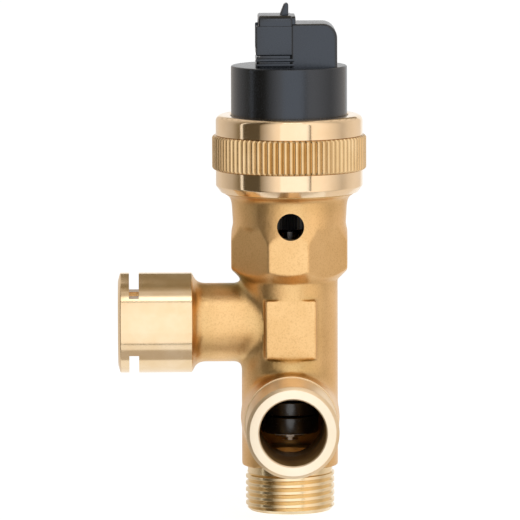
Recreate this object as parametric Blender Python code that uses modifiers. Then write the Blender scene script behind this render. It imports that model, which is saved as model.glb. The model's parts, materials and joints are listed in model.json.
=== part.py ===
"""Motorised three-port valve with a cartridge, a screw-driven plunger and a knurled union nut.

Metres, +Z up. The origin is the centre of the bottom port's sealing face, the left port points
along -X and the front port along -Y.
"""
import math

import bmesh
import bpy
from mathutils import Vector

MM = 0.001

# Fits: the gap between seated pieces, and the radial gap of pieces that run in each other
SEAT_GAP = 0.3 * MM
RUN_GAP = 0.3 * MM
SEAL_GAP = 0.15 * MM
OVERLAP = 1.0 * MM
WELD_DISTANCE = 0.001 * MM
AXIS_MERGE = 0.01 * MM

# Facets round a turned shape: large, inner and ring section
LARGE_FACETS = 56
INNER_FACETS = 24
SECTION_FACETS = 8
SHARP_ANGLE = math.radians(32)

# Brass body, from the bottom up
THREAD_RADIUS = 13.22 * MM
THREAD_LENGTH = 13.8 * MM
THREAD_CHAMFER = 1.0 * MM
THREAD_RELIEF_LENGTH = 2.4 * MM
THREAD_RELIEF_DEPTH = 0.6 * MM
BODY_RADIUS = 14.3 * MM
FRONT_AXIS_RISE = 14.45 * MM
LEFT_AXIS_RISE = 27.85 * MM
SHOULDER_RISE = 12.8 * MM
SHOULDER_HEIGHT = 2.9 * MM
NECK_RADIUS = 17.2 * MM
NECK_HEIGHT = 21.5 * MM
FLARE_HEIGHT = 1.5 * MM
COLLAR_RADIUS = 19.6 * MM
COLLAR_HEIGHT = 15.5 * MM
COLLAR_CHAMFER = 0.8 * MM

FRONT_AXIS_Z = THREAD_LENGTH + FRONT_AXIS_RISE
LEFT_AXIS_Z = FRONT_AXIS_Z + LEFT_AXIS_RISE
SHOULDER_Z = LEFT_AXIS_Z + SHOULDER_RISE
NECK_Z = SHOULDER_Z + SHOULDER_HEIGHT
FLARE_Z = NECK_Z + NECK_HEIGHT
COLLAR_Z = FLARE_Z + FLARE_HEIGHT
RIM_Z = COLLAR_Z + COLLAR_HEIGHT

# Front and left branches
PORT_CHAMFER_ALONG = 0.7 * MM
BRANCH_ROOT = 3.3 * MM
FRONT_BORE_RADIUS = 9.8 * MM
FRONT_WALL = 3.8 * MM
FRONT_RADIUS = FRONT_BORE_RADIUS + FRONT_WALL
FRONT_CHAMFER_ACROSS = 0.9 * MM
FRONT_REACH = 40.0 * MM
FRONT_PORT_LENGTH = 20.0 * MM
FRONT_BOSS_STEP = 0.4 * MM
FRONT_BOSS_DRAFT = 0.9 * MM
PORT_BORE_RADIUS = 10.0 * MM
PORT_WALL = 4.9 * MM
PORT_RADIUS = PORT_BORE_RADIUS + PORT_WALL
PORT_CHAMFER_ACROSS = 2.1 * MM
LEFT_REACH = 51.0 * MM
LEFT_PORT_LENGTH = 22.0 * MM
LEFT_CONE_LENGTH = 2.3 * MM
LEFT_NECK_BORE = 8.8 * MM
LEFT_NECK_WALL = 2.9 * MM
LEFT_NECK_RADIUS = LEFT_NECK_BORE + LEFT_NECK_WALL
LEFT_FILLET = 2.0 * MM
CLIP_SLOT_WIDTH = 2.9 * MM
CLIP_SLOT_INSET = 4.75 * MM
CLIP_SLOT_FLOOR = 8.5 * MM

# Bare plaque and weep hole on the front
PLAQUE_WIDTH = 15.2 * MM
PLAQUE_HEIGHT = 17.6 * MM
PLAQUE_STAND = 0.3 * MM
PLAQUE_DROP = 0.9 * MM
PLAQUE_BEVEL = 0.4 * MM
WEEP_RADIUS = 4.0 * MM
WEEP_RISE = 14.35 * MM
WEEP_Z = NECK_Z + WEEP_RISE

# Waterways
BOTTOM_BORE_RADIUS = 9.0 * MM
SEAT_RADIUS = 7.0 * MM
SEAT_CHAMFER = 0.8 * MM
LOWER_SEAT_WEB = 4.0 * MM
CHAMBER_WALL = 3.7 * MM
CHAMBER_RADIUS = BODY_RADIUS - CHAMBER_WALL
LOWER_SEAT_Z = FRONT_AXIS_Z - FRONT_BORE_RADIUS - SEAT_GAP
LEDGE_Z = FRONT_AXIS_Z + FRONT_BORE_RADIUS + SEAT_GAP

# Cartridge cage
CARTRIDGE_WALL = 1.7 * MM
CARTRIDGE_LEDGE = 1.0 * MM
CARTRIDGE_BORE = CHAMBER_RADIUS + CARTRIDGE_LEDGE
CARTRIDGE_RADIUS = CARTRIDGE_BORE - RUN_GAP
CAGE_BORE = CARTRIDGE_RADIUS - CARTRIDGE_WALL
SEAT_RING_HEIGHT = 4.2 * MM
WINDOW_WIDTH = 12.0 * MM
WINDOW_HEIGHT = 20.0 * MM
GLAND_HEIGHT = 6.6 * MM
FLANGE_RISE = 2.4 * MM
NECK_BORE_RADIUS = 13.0 * MM
NECK_FLOOR_RISE = 2.6 * MM
O_RING_GROOVE_DEPTH = 1.7 * MM
O_RING_SIDE_GAP = 0.25 * MM
CIRCLIP_THICKNESS = 1.2 * MM
CIRCLIP_BITE = 0.8 * MM
CIRCLIP_WIDTH = 2.4 * MM
CLIP_MOUTH = 4.0 * MM

CAGE_Z = LEDGE_Z + SEAT_GAP
SPRING_SEAT_Z = CAGE_Z + SEAT_RING_HEIGHT
NECK_FLOOR_Z = NECK_Z + NECK_FLOOR_RISE
FLANGE_Z = NECK_FLOOR_Z + SEAT_GAP
GLAND_Z = FLANGE_Z - GLAND_HEIGHT
CAGE_TOP_Z = FLANGE_Z + FLANGE_RISE
CIRCLIP_Z = CAGE_TOP_Z + SEAT_GAP
O_RING_INNER = CARTRIDGE_RADIUS - O_RING_GROOVE_DEPTH + SEAL_GAP
O_RING_SECTION = (CARTRIDGE_BORE - SEAL_GAP - O_RING_INNER) / 2
O_RING_MEAN = O_RING_INNER + O_RING_SECTION
LOWER_O_RING_Z = CAGE_Z + SEAT_RING_HEIGHT / 2
UPPER_O_RING_Z = GLAND_Z + GLAND_HEIGHT / 2

# Stem, plug and return spring
STEM_RADIUS = 2.5 * MM
STEM_TRAVEL = 4.8 * MM
STEM_SEAL_SECTION = 0.75 * MM
STEM_SEAL_PITCH = 4.0 * MM
STEM_SEAL_MEAN = STEM_RADIUS + SEAL_GAP + STEM_SEAL_SECTION
PLUG_RADIUS = 8.5 * MM
PLUG_CORE_HEIGHT = 4.0 * MM
PLUG_EDGE = 0.5 * MM
CLIP_THICKNESS = 0.8 * MM
CLIP_RADIUS = 4.4 * MM
CLIP_GROOVE_RADIUS = 1.8 * MM
STEM_TAIL = 1.2 * MM
STEM_TOP_DROP = 2.35 * MM
SPRING_WIRE_RADIUS = 0.6 * MM
SPRING_TURNS = 5
SPRING_POINTS_PER_TURN = 10
SPRING_LENGTH = 17.9 * MM
SPRING_PLATE_THICKNESS = 1.2 * MM
SPRING_PLATE_RADIUS = CAGE_BORE - 2 * RUN_GAP
SPRING_INSET = 0.2 * MM
SPRING_RADIUS = SPRING_PLATE_RADIUS - SPRING_WIRE_RADIUS - SPRING_INSET

PLUG_TOP_Z = CAGE_Z - SEAT_GAP
PLUG_BOTTOM_Z = LOWER_SEAT_Z + SEAT_GAP + STEM_TRAVEL
PLUG_MIDDLE_Z = (PLUG_TOP_Z + PLUG_BOTTOM_Z) / 2
CORE_BOTTOM_Z = PLUG_MIDDLE_Z - PLUG_CORE_HEIGHT / 2
CORE_TOP_Z = PLUG_MIDDLE_Z + PLUG_CORE_HEIGHT / 2
PLUG_CLIP_LOWER_Z = PLUG_BOTTOM_Z - SEAT_GAP - CLIP_THICKNESS
PLUG_CLIP_UPPER_Z = PLUG_TOP_Z + SEAT_GAP
STEM_BOTTOM_Z = PLUG_CLIP_LOWER_Z - STEM_TAIL
SPRING_Z = SPRING_SEAT_Z + SEAT_GAP
SPRING_PLATE_Z = SPRING_Z + SPRING_LENGTH + SEAT_GAP
SPRING_CLIP_Z = SPRING_PLATE_Z + SPRING_PLATE_THICKNESS + SEAT_GAP
STEM_TOP_Z = WEEP_Z - STEM_TOP_DROP

# Actuator base, gasket and housing
GASKET_THICKNESS = 0.8 * MM
HEAD_RADIUS = 17.2 * MM
HEAD_WALL = 1.6 * MM
HEAD_HEIGHT = 21.2 * MM
HEAD_ROOF = 2.0 * MM
HEAD_EDGE = 0.6 * MM
FLANGE_THICKNESS = 3.3 * MM
HEAD_FLANGE_INSET = 0.2 * MM
HEAD_FLANGE_RADIUS = COLLAR_RADIUS - HEAD_FLANGE_INSET
BASE_THICKNESS = 2.4 * MM
SPIGOT_LENGTH = 11.5 * MM
SPINDLE_RADIUS = 5.6 * MM
SPLINE_DEPTH = 0.5 * MM
SPLINE_COUNT = 36
SPLINE_HEIGHT = 22.0 * MM
GUIDE_HEIGHT = 10.0 * MM
SCREW_RADIUS = 2.4 * MM

GASKET_Z = RIM_Z + SEAL_GAP
HEAD_Z = GASKET_Z + GASKET_THICKNESS + SEAL_GAP
HEAD_TOP_Z = HEAD_Z + HEAD_HEIGHT
HEAD_CAVITY_RADIUS = HEAD_RADIUS - HEAD_WALL
HEAD_ROOF_Z = HEAD_TOP_Z - HEAD_ROOF
BASE_RADIUS = HEAD_CAVITY_RADIUS - RUN_GAP
BASE_TOP_Z = HEAD_Z + BASE_THICKNESS
SPIGOT_RADIUS = NECK_BORE_RADIUS - RUN_GAP
SPIGOT_Z = HEAD_Z - SPIGOT_LENGTH
SPINDLE_Z = STEM_TOP_Z + SEAT_GAP
SPLINE_TOP_Z = SPINDLE_Z + SPLINE_HEIGHT

# Motor
BEARING_RADIUS = 6.2 * MM
BEARING_HEIGHT = 1.8 * MM
BEARING_POCKET = 2.0 * MM
ROOF_POCKET = 0.8 * MM
BEARING_BOSS_RADIUS = 8.0 * MM
BEARING_BOSS_DROP = 1.5 * MM
JOURNAL_RADIUS = 3.9 * MM
ROTOR_BORE = SCREW_RADIUS + RUN_GAP
HUB_RADIUS = 5.3 * MM
MAGNET_RADIUS = 8.2 * MM
AIR_GAP = 0.4 * MM
STATOR_WALL = 0.9 * MM
COIL_WINDOW_INSET = 0.7 * MM
STATOR_RADIUS = HEAD_CAVITY_RADIUS - RUN_GAP
STATOR_BORE = MAGNET_RADIUS + AIR_GAP
POCKET_RADIUS = BEARING_RADIUS + RUN_GAP
LOWER_POCKET_Z = BASE_TOP_Z - BEARING_POCKET
LOWER_BEARING_Z = LOWER_POCKET_Z + SEAL_GAP
UPPER_BEARING_TOP_Z = HEAD_ROOF_Z + ROOF_POCKET - SEAL_GAP
UPPER_BEARING_Z = UPPER_BEARING_TOP_Z - BEARING_HEIGHT
BOSS_Z = HEAD_ROOF_Z - BEARING_BOSS_DROP
STATOR_Z = BASE_TOP_Z + SEAT_GAP
STATOR_TOP_Z = BOSS_Z - SEAT_GAP
STATOR_HEIGHT = (STATOR_TOP_Z - STATOR_Z - SEAT_GAP) / 2
ROTOR_Z = STATOR_Z + SEAT_GAP
ROTOR_TOP_Z = STATOR_TOP_Z - SEAT_GAP
SCREW_TOP_Z = ROTOR_TOP_Z - SEAT_GAP

# Plug socket and block on the head, as offsets from the valve axis and from the head's top
SOCKET_HALF_DEPTH = 8.5 * MM
SOCKET_LEFT = -9.9 * MM
SOCKET_RIGHT = 0.5 * MM
SOCKET_BOTTOM = 3.4 * MM
SOCKET_TOP = 15.1 * MM
SOCKET_ROUND = 2.4 * MM
SOCKET_WALL = 1.9 * MM
SOCKET_BACK = 1.7 * MM
PEDESTAL_INSET = 1.2 * MM
RIB_LOWER = 0.6 * MM
RIB_UPPER = 2.0 * MM
RIB_THICKNESS = 0.8 * MM
BLOCK_RIGHT = 14.1 * MM
BLOCK_TOP = 12.7 * MM
BLOCK_ROUND = 3.9 * MM
BLOCK_BEVEL = 0.8 * MM
COLLAR_FIN_WIDTH = 1.3 * MM
NUB_LEFT = -2.8 * MM
NUB_RIGHT = -0.15 * MM
NUB_HEIGHT = 3.4 * MM
NUB_HALF_DEPTH = 2.0 * MM
PIN_WIDTH = 0.7 * MM
PIN_REACH = 5.0 * MM
PIN_ROOT = 1.2 * MM
PIN_PITCH = 2.5 * MM
PIN_COUNT = 4
ARC_STEPS = 5

# Union nut
NUT_WALL = 1.9 * MM
NUT_KNURL_STAND = 1.07 * MM
NUT_KNURL_DEPTH = 0.6 * MM
NUT_KNURL_COUNT = 84
NUT_CHAMFER = 1.7 * MM
NUT_LOWER_BAND = 5.0 * MM
NUT_KNURL_HEIGHT = 10.2 * MM
NUT_LIP = 3.0 * MM
NUT_TOP_ROUND = 1.8 * MM
NUT_Z = COLLAR_Z + SEAT_GAP
NUT_BORE = COLLAR_RADIUS + RUN_GAP
NUT_BAND_RADIUS = NUT_BORE + NUT_WALL
NUT_KNURL_RADIUS = NUT_BAND_RADIUS + NUT_KNURL_STAND
NUT_LIP_BORE = HEAD_RADIUS + RUN_GAP
NUT_LIP_Z = HEAD_Z + FLANGE_THICKNESS + SEAT_GAP
NUT_TOP_Z = NUT_LIP_Z + NUT_LIP
KNURL_Z = NUT_Z + NUT_CHAMFER + NUT_LOWER_BAND
KNURL_TOP_Z = KNURL_Z + NUT_KNURL_HEIGHT

# Materials: colour, roughness, metallic
FINISHES = {
    "cast_brass": ((0.80, 0.56, 0.29), 0.38, 1.0),
    "turned_brass": ((0.86, 0.66, 0.40), 0.22, 1.0),
    "black_plastic": ((0.035, 0.037, 0.042), 0.5, 0.0),
    "grey_plastic": ((0.30, 0.30, 0.31), 0.5, 0.0),
    "rubber": ((0.03, 0.03, 0.03), 0.7, 0.0),
    "stainless": ((0.62, 0.62, 0.63), 0.3, 1.0),
    "motor_steel": ((0.45, 0.45, 0.46), 0.4, 1.0),
    "copper_winding": ((0.72, 0.35, 0.18), 0.4, 1.0),
    "magnet": ((0.10, 0.10, 0.11), 0.5, 0.0),
}

AXIS_LEFT = (0.0, -math.pi / 2, 0.0)
AXIS_FRONT = (math.pi / 2, 0.0, 0.0)


def clear_scene():
    for obj in list(bpy.data.objects):
        bpy.data.objects.remove(obj, do_unlink=True)


def new_collection(name):
    collection = bpy.data.collections.new(name)
    bpy.context.scene.collection.children.link(collection)
    return collection


def finish_material(name):
    if name in bpy.data.materials:
        return bpy.data.materials[name]
    colour, roughness, metallic = FINISHES[name]
    material = bpy.data.materials.new(name)
    material.use_nodes = True
    shader = material.node_tree.nodes["Principled BSDF"]
    shader.inputs["Base Color"].default_value = (*colour, 1.0)
    shader.inputs["Roughness"].default_value = roughness
    shader.inputs["Metallic"].default_value = metallic
    return material


def place(name, data, location=(0.0, 0.0, 0.0), rotation=(0.0, 0.0, 0.0)):
    obj = bpy.data.objects.new(name, data)
    bpy.context.scene.collection.objects.link(obj)
    obj.location = location
    obj.rotation_euler = rotation
    return obj


def applied(obj):
    """Replace the object's shape by its evaluated shape, at the same place."""
    graph = bpy.context.evaluated_depsgraph_get()
    mesh = bpy.data.meshes.new_from_object(obj.evaluated_get(graph))
    if obj.type == "MESH":
        obj.modifiers.clear()
        obj.data = mesh
        return obj
    name = obj.name
    matrix = obj.matrix_world.copy()
    bpy.data.objects.remove(obj)
    converted = place(name, mesh)
    converted.matrix_world = matrix
    return converted


def turned(name, profile, facets, ring=False, location=(0, 0, 0), rotation=(0, 0, 0)):
    """Turn (radius, height) points, given top to bottom on the outer side, round local Z.

    A branch starts half a facet round, so that its edges miss those of the upright shapes.
    """
    start = math.pi / facets if any(rotation) else 0.0
    mesh = bpy.data.meshes.new(name)
    edges = [(i, i + 1) for i in range(len(profile) - 1)]
    if ring:
        edges.append((len(profile) - 1, 0))
    cosine = math.cos(start)
    sine = math.sin(start)
    points = [(radius * cosine, radius * sine, height) for radius, height in profile]
    mesh.from_pydata(points, edges, [])
    obj = place(name, mesh, location, rotation)
    screw = obj.modifiers.new("Turn", "SCREW")
    screw.angle = 2 * math.pi
    screw.steps = facets
    screw.render_steps = facets
    screw.use_merge_vertices = True
    screw.merge_threshold = AXIS_MERGE
    return applied(obj)


def turned_ring(name, inner, outer, bottom, top, facets):
    profile = [(inner, top), (outer, top), (outer, bottom), (inner, bottom)]
    return turned(name, profile, facets, ring=True)


def torus_ring(name, mean, section, height, facets):
    """An O-ring: a round section turned round Z."""
    profile = []
    for step in range(SECTION_FACETS):
        angle = -2 * math.pi * step / SECTION_FACETS
        profile.append((mean + section * math.cos(angle), height + section * math.sin(angle)))
    return turned(name, profile, facets, ring=True)


def prism(name, outline, thickness, location=(0, 0, 0), rotation=(0, 0, 0)):
    """Fill a closed (x, y) outline as a 2D curve and extrude it by half the thickness each way."""
    curve = bpy.data.curves.new(name, "CURVE")
    curve.dimensions = "2D"
    curve.fill_mode = "BOTH"
    curve.extrude = thickness / 2
    spline = curve.splines.new("POLY")
    spline.points.add(len(outline) - 1)
    for point, (x, y) in zip(spline.points, outline):
        point.co = (x, y, 0.0, 1.0)
    spline.use_cyclic_u = True
    solid = applied(place(name, curve, location, rotation))
    welded(solid.data)
    return solid


def welded(mesh):
    """Merge the doubled points where a curve's caps meet its sides."""
    shape = bmesh.new()
    shape.from_mesh(mesh)
    bmesh.ops.remove_doubles(shape, verts=shape.verts, dist=WELD_DISTANCE)
    bmesh.ops.recalc_face_normals(shape, faces=shape.faces)
    shape.to_mesh(mesh)
    shape.free()


def box(name, low, high):
    """A box between two corners."""
    middle = (Vector(low) + Vector(high)) / 2
    size = Vector(high) - Vector(low)
    bpy.ops.mesh.primitive_cube_add(size=1.0, location=middle)
    obj = bpy.context.object
    obj.name = name
    obj.scale = size
    bpy.ops.object.transform_apply(location=False, rotation=False, scale=True)
    return obj


def bevelled(obj, width, segments=2):
    bevel = obj.modifiers.new("Edges", "BEVEL")
    bevel.width = width
    bevel.segments = segments
    bevel.limit_method = "ANGLE"
    return applied(obj)


def combined(obj, operation, others, solver="EXACT"):
    """Boolean the object with each of the others, which stay as hidden cutters."""
    for other in others:
        boolean = obj.modifiers.new(other.name, "BOOLEAN")
        boolean.operation = operation
        boolean.solver = solver
        boolean.object = other
        applied(obj)
        other.hide_render = True
        other.display_type = "WIRE"
    return obj


def arc(centre_x, centre_y, radius, start, end, steps=ARC_STEPS):
    """Points on an arc, angles in degrees."""
    points = []
    for step in range(steps + 1):
        angle = math.radians(start + (end - start) * step / steps)
        points.append((centre_x + radius * math.cos(angle), centre_y + radius * math.sin(angle)))
    return points


def star_outline(count, outer, depth):
    """A ridged outline with one outer and one inner point for each ridge."""
    points = []
    for step in range(2 * count):
        radius = outer if step % 2 == 0 else outer - depth
        angle = math.pi * step / count
        points.append((radius * math.cos(angle), radius * math.sin(angle)))
    return points


def body_outside():
    """The body's vertical part, from the collar's top down to the bottom port's face."""
    thread_top = THREAD_LENGTH - THREAD_RELIEF_LENGTH
    relief_radius = THREAD_RADIUS - THREAD_RELIEF_DEPTH
    profile = [
        (0.0, RIM_Z),
        (COLLAR_RADIUS - COLLAR_CHAMFER, RIM_Z),
        (COLLAR_RADIUS, RIM_Z - COLLAR_CHAMFER),
        (COLLAR_RADIUS, COLLAR_Z),
        (NECK_RADIUS, FLARE_Z),
        (NECK_RADIUS, NECK_Z),
        (BODY_RADIUS, SHOULDER_Z),
        (BODY_RADIUS, THREAD_LENGTH),
        (relief_radius, THREAD_LENGTH),
        (relief_radius, thread_top + THREAD_RELIEF_DEPTH),
        (THREAD_RADIUS, thread_top),
        (THREAD_RADIUS, THREAD_CHAMFER),
        (THREAD_RADIUS - THREAD_CHAMFER, 0.0),
        (0.0, 0.0),
    ]
    return turned("valve_body", profile, LARGE_FACETS)


def left_turned(name, profile):
    return turned(name, profile, LARGE_FACETS, location=(0, 0, LEFT_AXIS_Z), rotation=AXIS_LEFT)


def front_turned(name, profile):
    return turned(name, profile, LARGE_FACETS, location=(0, 0, FRONT_AXIS_Z), rotation=AXIS_FRONT)


def left_branch():
    """The left branch about its own axis: neck, cone and clip port."""
    port_start = LEFT_REACH - LEFT_PORT_LENGTH
    cone_start = port_start - LEFT_CONE_LENGTH
    fillet_end = BODY_RADIUS + LEFT_FILLET
    profile = [
        (0.0, LEFT_REACH),
        (PORT_RADIUS - PORT_CHAMFER_ACROSS, LEFT_REACH),
        (PORT_RADIUS, LEFT_REACH - PORT_CHAMFER_ALONG),
        (PORT_RADIUS, port_start),
        (LEFT_NECK_RADIUS, cone_start),
        (LEFT_NECK_RADIUS, fillet_end),
        (LEFT_NECK_RADIUS + LEFT_FILLET, fillet_end - LEFT_FILLET),
        (LEFT_NECK_RADIUS + LEFT_FILLET, BRANCH_ROOT),
        (0.0, BRANCH_ROOT),
    ]
    return left_turned("left_branch", profile)


def front_branch():
    """The front branch about its own axis: turned port on a cast boss with draft."""
    port_start = FRONT_REACH - FRONT_PORT_LENGTH
    boss_radius = FRONT_RADIUS + FRONT_BOSS_STEP
    profile = [
        (0.0, FRONT_REACH),
        (FRONT_RADIUS - FRONT_CHAMFER_ACROSS, FRONT_REACH),
        (FRONT_RADIUS, FRONT_REACH - PORT_CHAMFER_ALONG),
        (FRONT_RADIUS, port_start),
        (boss_radius, port_start),
        (boss_radius + FRONT_BOSS_DRAFT, BRANCH_ROOT),
        (0.0, BRANCH_ROOT),
    ]
    return front_turned("front_branch", profile)


def plaque():
    top = LEFT_AXIS_Z - PLAQUE_DROP + PLAQUE_HEIGHT / 2
    face = -BODY_RADIUS - PLAQUE_STAND
    low = (-PLAQUE_WIDTH / 2, face, top - PLAQUE_HEIGHT)
    high = (PLAQUE_WIDTH / 2, -CARTRIDGE_BORE + OVERLAP, top)
    return bevelled(box("plaque", low, high), PLAQUE_BEVEL)


def upright_bore():
    """The stepped bore down the body, with the circlip groove and the lower seat."""
    groove_radius = NECK_BORE_RADIUS + CIRCLIP_BITE + RUN_GAP
    groove_bottom = CIRCLIP_Z - SEAT_GAP
    groove_top = CIRCLIP_Z + CIRCLIP_THICKNESS + SEAT_GAP
    profile = [
        (0.0, RIM_Z + OVERLAP),
        (NECK_BORE_RADIUS, RIM_Z + OVERLAP),
        (NECK_BORE_RADIUS, groove_top),
        (groove_radius, groove_top),
        (groove_radius, groove_bottom),
        (NECK_BORE_RADIUS, groove_bottom),
        (NECK_BORE_RADIUS, NECK_FLOOR_Z),
        (CARTRIDGE_BORE, NECK_FLOOR_Z),
        (CARTRIDGE_BORE, LEDGE_Z),
        (CHAMBER_RADIUS, LEDGE_Z),
        (CHAMBER_RADIUS, LOWER_SEAT_Z),
        (SEAT_RADIUS + SEAT_CHAMFER, LOWER_SEAT_Z),
        (SEAT_RADIUS, LOWER_SEAT_Z - SEAT_CHAMFER),
        (SEAT_RADIUS, LOWER_SEAT_Z - LOWER_SEAT_WEB),
        (BOTTOM_BORE_RADIUS, LOWER_SEAT_Z - LOWER_SEAT_WEB),
        (BOTTOM_BORE_RADIUS, -OVERLAP),
        (0.0, -OVERLAP),
    ]
    return turned("upright_bore", profile, LARGE_FACETS)


def left_bore():
    step = LEFT_REACH - LEFT_PORT_LENGTH
    profile = [
        (0.0, LEFT_REACH + OVERLAP),
        (PORT_BORE_RADIUS, LEFT_REACH + OVERLAP),
        (PORT_BORE_RADIUS, step),
        (LEFT_NECK_BORE, step - (PORT_BORE_RADIUS - LEFT_NECK_BORE)),
        (LEFT_NECK_BORE, BRANCH_ROOT),
        (0.0, BRANCH_ROOT),
    ]
    return left_turned("left_bore", profile)


def front_bore():
    profile = [
        (0.0, FRONT_REACH + OVERLAP),
        (FRONT_BORE_RADIUS, FRONT_REACH + OVERLAP),
        (FRONT_BORE_RADIUS, BRANCH_ROOT),
        (0.0, BRANCH_ROOT),
    ]
    return front_turned("front_bore", profile)


def weep_hole():
    profile = [
        (0.0, NECK_RADIUS + OVERLAP),
        (WEEP_RADIUS, NECK_RADIUS + OVERLAP),
        (WEEP_RADIUS, SPINDLE_RADIUS),
        (0.0, SPINDLE_RADIUS),
    ]
    return turned("weep_hole", profile, INNER_FACETS, location=(0, 0, WEEP_Z), rotation=AXIS_FRONT)


def clip_slot(side):
    """A straight slot across the left port, above (side 1) or below (side -1) its bore."""
    middle = -LEFT_REACH + CLIP_SLOT_INSET
    near = LEFT_AXIS_Z + side * CLIP_SLOT_FLOOR
    far = LEFT_AXIS_Z + side * (PORT_RADIUS + OVERLAP)
    reach = PORT_RADIUS + OVERLAP
    low = (middle - CLIP_SLOT_WIDTH / 2, -reach, min(near, far))
    high = (middle + CLIP_SLOT_WIDTH / 2, reach, max(near, far))
    return box("clip_slot", low, high)


def valve_body():
    """The cast body; its cuts need the manifold solver, as the bores meet edge on edge."""
    body = combined(body_outside(), "UNION", [left_branch(), front_branch(), plaque()])
    cutters = [upright_bore(), left_bore(), front_bore(), weep_hole(), clip_slot(1), clip_slot(-1)]
    return combined(body, "DIFFERENCE", cutters, solver="MANIFOLD")


def cage_window(turn):
    """A window in the cage's wall; turn 0 faces the left and right ports, 1 the front and back."""
    reach = CARTRIDGE_RADIUS + OVERLAP
    half = WINDOW_WIDTH / 2
    bottom = LEFT_AXIS_Z - WINDOW_HEIGHT / 2
    top = LEFT_AXIS_Z + WINDOW_HEIGHT / 2
    if turn == 0:
        return box("cage_window", (-reach, -half, bottom), (reach, half, top))
    return box("cage_window", (-half, -reach, bottom), (half, reach, top))


def o_ring_groove(height):
    """The outer points of a groove for a cage O-ring, top to bottom."""
    floor = CARTRIDGE_RADIUS - O_RING_GROOVE_DEPTH
    half = O_RING_SECTION + O_RING_SIDE_GAP
    return [
        (CARTRIDGE_RADIUS, height + half),
        (floor, height + half),
        (floor, height - half),
        (CARTRIDGE_RADIUS, height - half),
    ]


def stem_seal_groove(height):
    """The inner points of a groove for a stem seal, bottom to top."""
    bore = STEM_RADIUS + RUN_GAP
    floor = STEM_SEAL_MEAN + STEM_SEAL_SECTION + SEAL_GAP
    half = STEM_SEAL_SECTION + O_RING_SIDE_GAP
    return [
        (bore, height - half),
        (floor, height - half),
        (floor, height + half),
        (bore, height + half),
    ]


def stem_seal_heights():
    middle = (GLAND_Z + CAGE_TOP_Z) / 2
    return middle - STEM_SEAL_PITCH / 2, middle + STEM_SEAL_PITCH / 2


def cartridge_cage():
    """The plastic cage: lower seat ring, windowed sleeve, gland and flange in one moulding."""
    bore = STEM_RADIUS + RUN_GAP
    flange_radius = NECK_BORE_RADIUS - RUN_GAP
    lower_seal, upper_seal = stem_seal_heights()
    profile = [
        (bore, CAGE_TOP_Z),
        (flange_radius, CAGE_TOP_Z),
        (flange_radius, FLANGE_Z),
        (CARTRIDGE_RADIUS, FLANGE_Z),
        *o_ring_groove(UPPER_O_RING_Z),
        *o_ring_groove(LOWER_O_RING_Z),
        (CARTRIDGE_RADIUS, CAGE_Z),
        (SEAT_RADIUS, CAGE_Z),
        (SEAT_RADIUS, SPRING_SEAT_Z),
        (CAGE_BORE, SPRING_SEAT_Z),
        (CAGE_BORE, GLAND_Z),
        (bore, GLAND_Z),
        *stem_seal_groove(lower_seal),
        *stem_seal_groove(upper_seal),
    ]
    cage = turned("cartridge_cage", profile, INNER_FACETS, ring=True)
    return combined(cage, "DIFFERENCE", [cage_window(0), cage_window(1)])


def split_ring(name, inner, outer, bottom, thickness, mouth):
    """A flat ring with a mouth cut out of its back side."""
    ring = turned_ring(name, inner, outer, bottom, bottom + thickness, INNER_FACETS)
    low = (-mouth / 2, 0.0, bottom - OVERLAP)
    high = (mouth / 2, outer + OVERLAP, bottom + thickness + OVERLAP)
    return combined(ring, "DIFFERENCE", [box("ring_mouth", low, high)])


def stem_clip(name, bottom):
    inner = CLIP_GROOVE_RADIUS + SEAL_GAP
    return split_ring(name, inner, CLIP_RADIUS, bottom, CLIP_THICKNESS, CLIP_MOUTH / 2)


def clip_groove(bottom):
    """The outer points of a clip groove in the stem, top to bottom."""
    top = bottom + CLIP_THICKNESS + SEAL_GAP
    low = bottom - SEAL_GAP
    return [
        (STEM_RADIUS, top),
        (CLIP_GROOVE_RADIUS, top),
        (CLIP_GROOVE_RADIUS, low),
        (STEM_RADIUS, low),
    ]


def valve_stem():
    chamfer = STEM_RADIUS / 4
    profile = [
        (0.0, STEM_TOP_Z),
        (STEM_RADIUS - chamfer, STEM_TOP_Z),
        (STEM_RADIUS, STEM_TOP_Z - chamfer),
        *clip_groove(SPRING_CLIP_Z),
        *clip_groove(PLUG_CLIP_UPPER_Z),
        *clip_groove(PLUG_CLIP_LOWER_Z),
        (STEM_RADIUS, STEM_BOTTOM_Z),
        (0.0, STEM_BOTTOM_Z),
    ]
    return turned("valve_stem", profile, INNER_FACETS)


def plug_disc(name, bottom, top):
    """One disc of the plug with eased outer edges."""
    bore = STEM_RADIUS + RUN_GAP
    profile = [
        (bore, top),
        (PLUG_RADIUS - PLUG_EDGE, top),
        (PLUG_RADIUS, top - PLUG_EDGE),
        (PLUG_RADIUS, bottom + PLUG_EDGE),
        (PLUG_RADIUS - PLUG_EDGE, bottom),
        (bore, bottom),
    ]
    return turned(name, profile, INNER_FACETS, ring=True)


def return_spring():
    """One helix of round wire; the least gap between its turns is printed."""
    turns = SPRING_TURNS * SPRING_POINTS_PER_TURN
    rise = SPRING_LENGTH - 2 * SPRING_WIRE_RADIUS
    curve = bpy.data.curves.new("return_spring", "CURVE")
    curve.dimensions = "3D"
    curve.bevel_depth = SPRING_WIRE_RADIUS
    curve.bevel_resolution = 1
    curve.use_fill_caps = True
    spline = curve.splines.new("POLY")
    spline.points.add(turns)
    for step, point in enumerate(spline.points):
        angle = 2 * math.pi * step / SPRING_POINTS_PER_TURN
        height = SPRING_Z + SPRING_WIRE_RADIUS + rise * step / turns
        x = SPRING_RADIUS * math.cos(angle)
        y = SPRING_RADIUS * math.sin(angle)
        point.co = (x, y, height, 1.0)
    gap = rise / SPRING_TURNS - 2 * SPRING_WIRE_RADIUS
    print(f"return_spring: least gap between turns {gap / MM:.2f} mm")
    spring = applied(place("return_spring", curve))
    welded(spring.data)
    return spring


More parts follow.
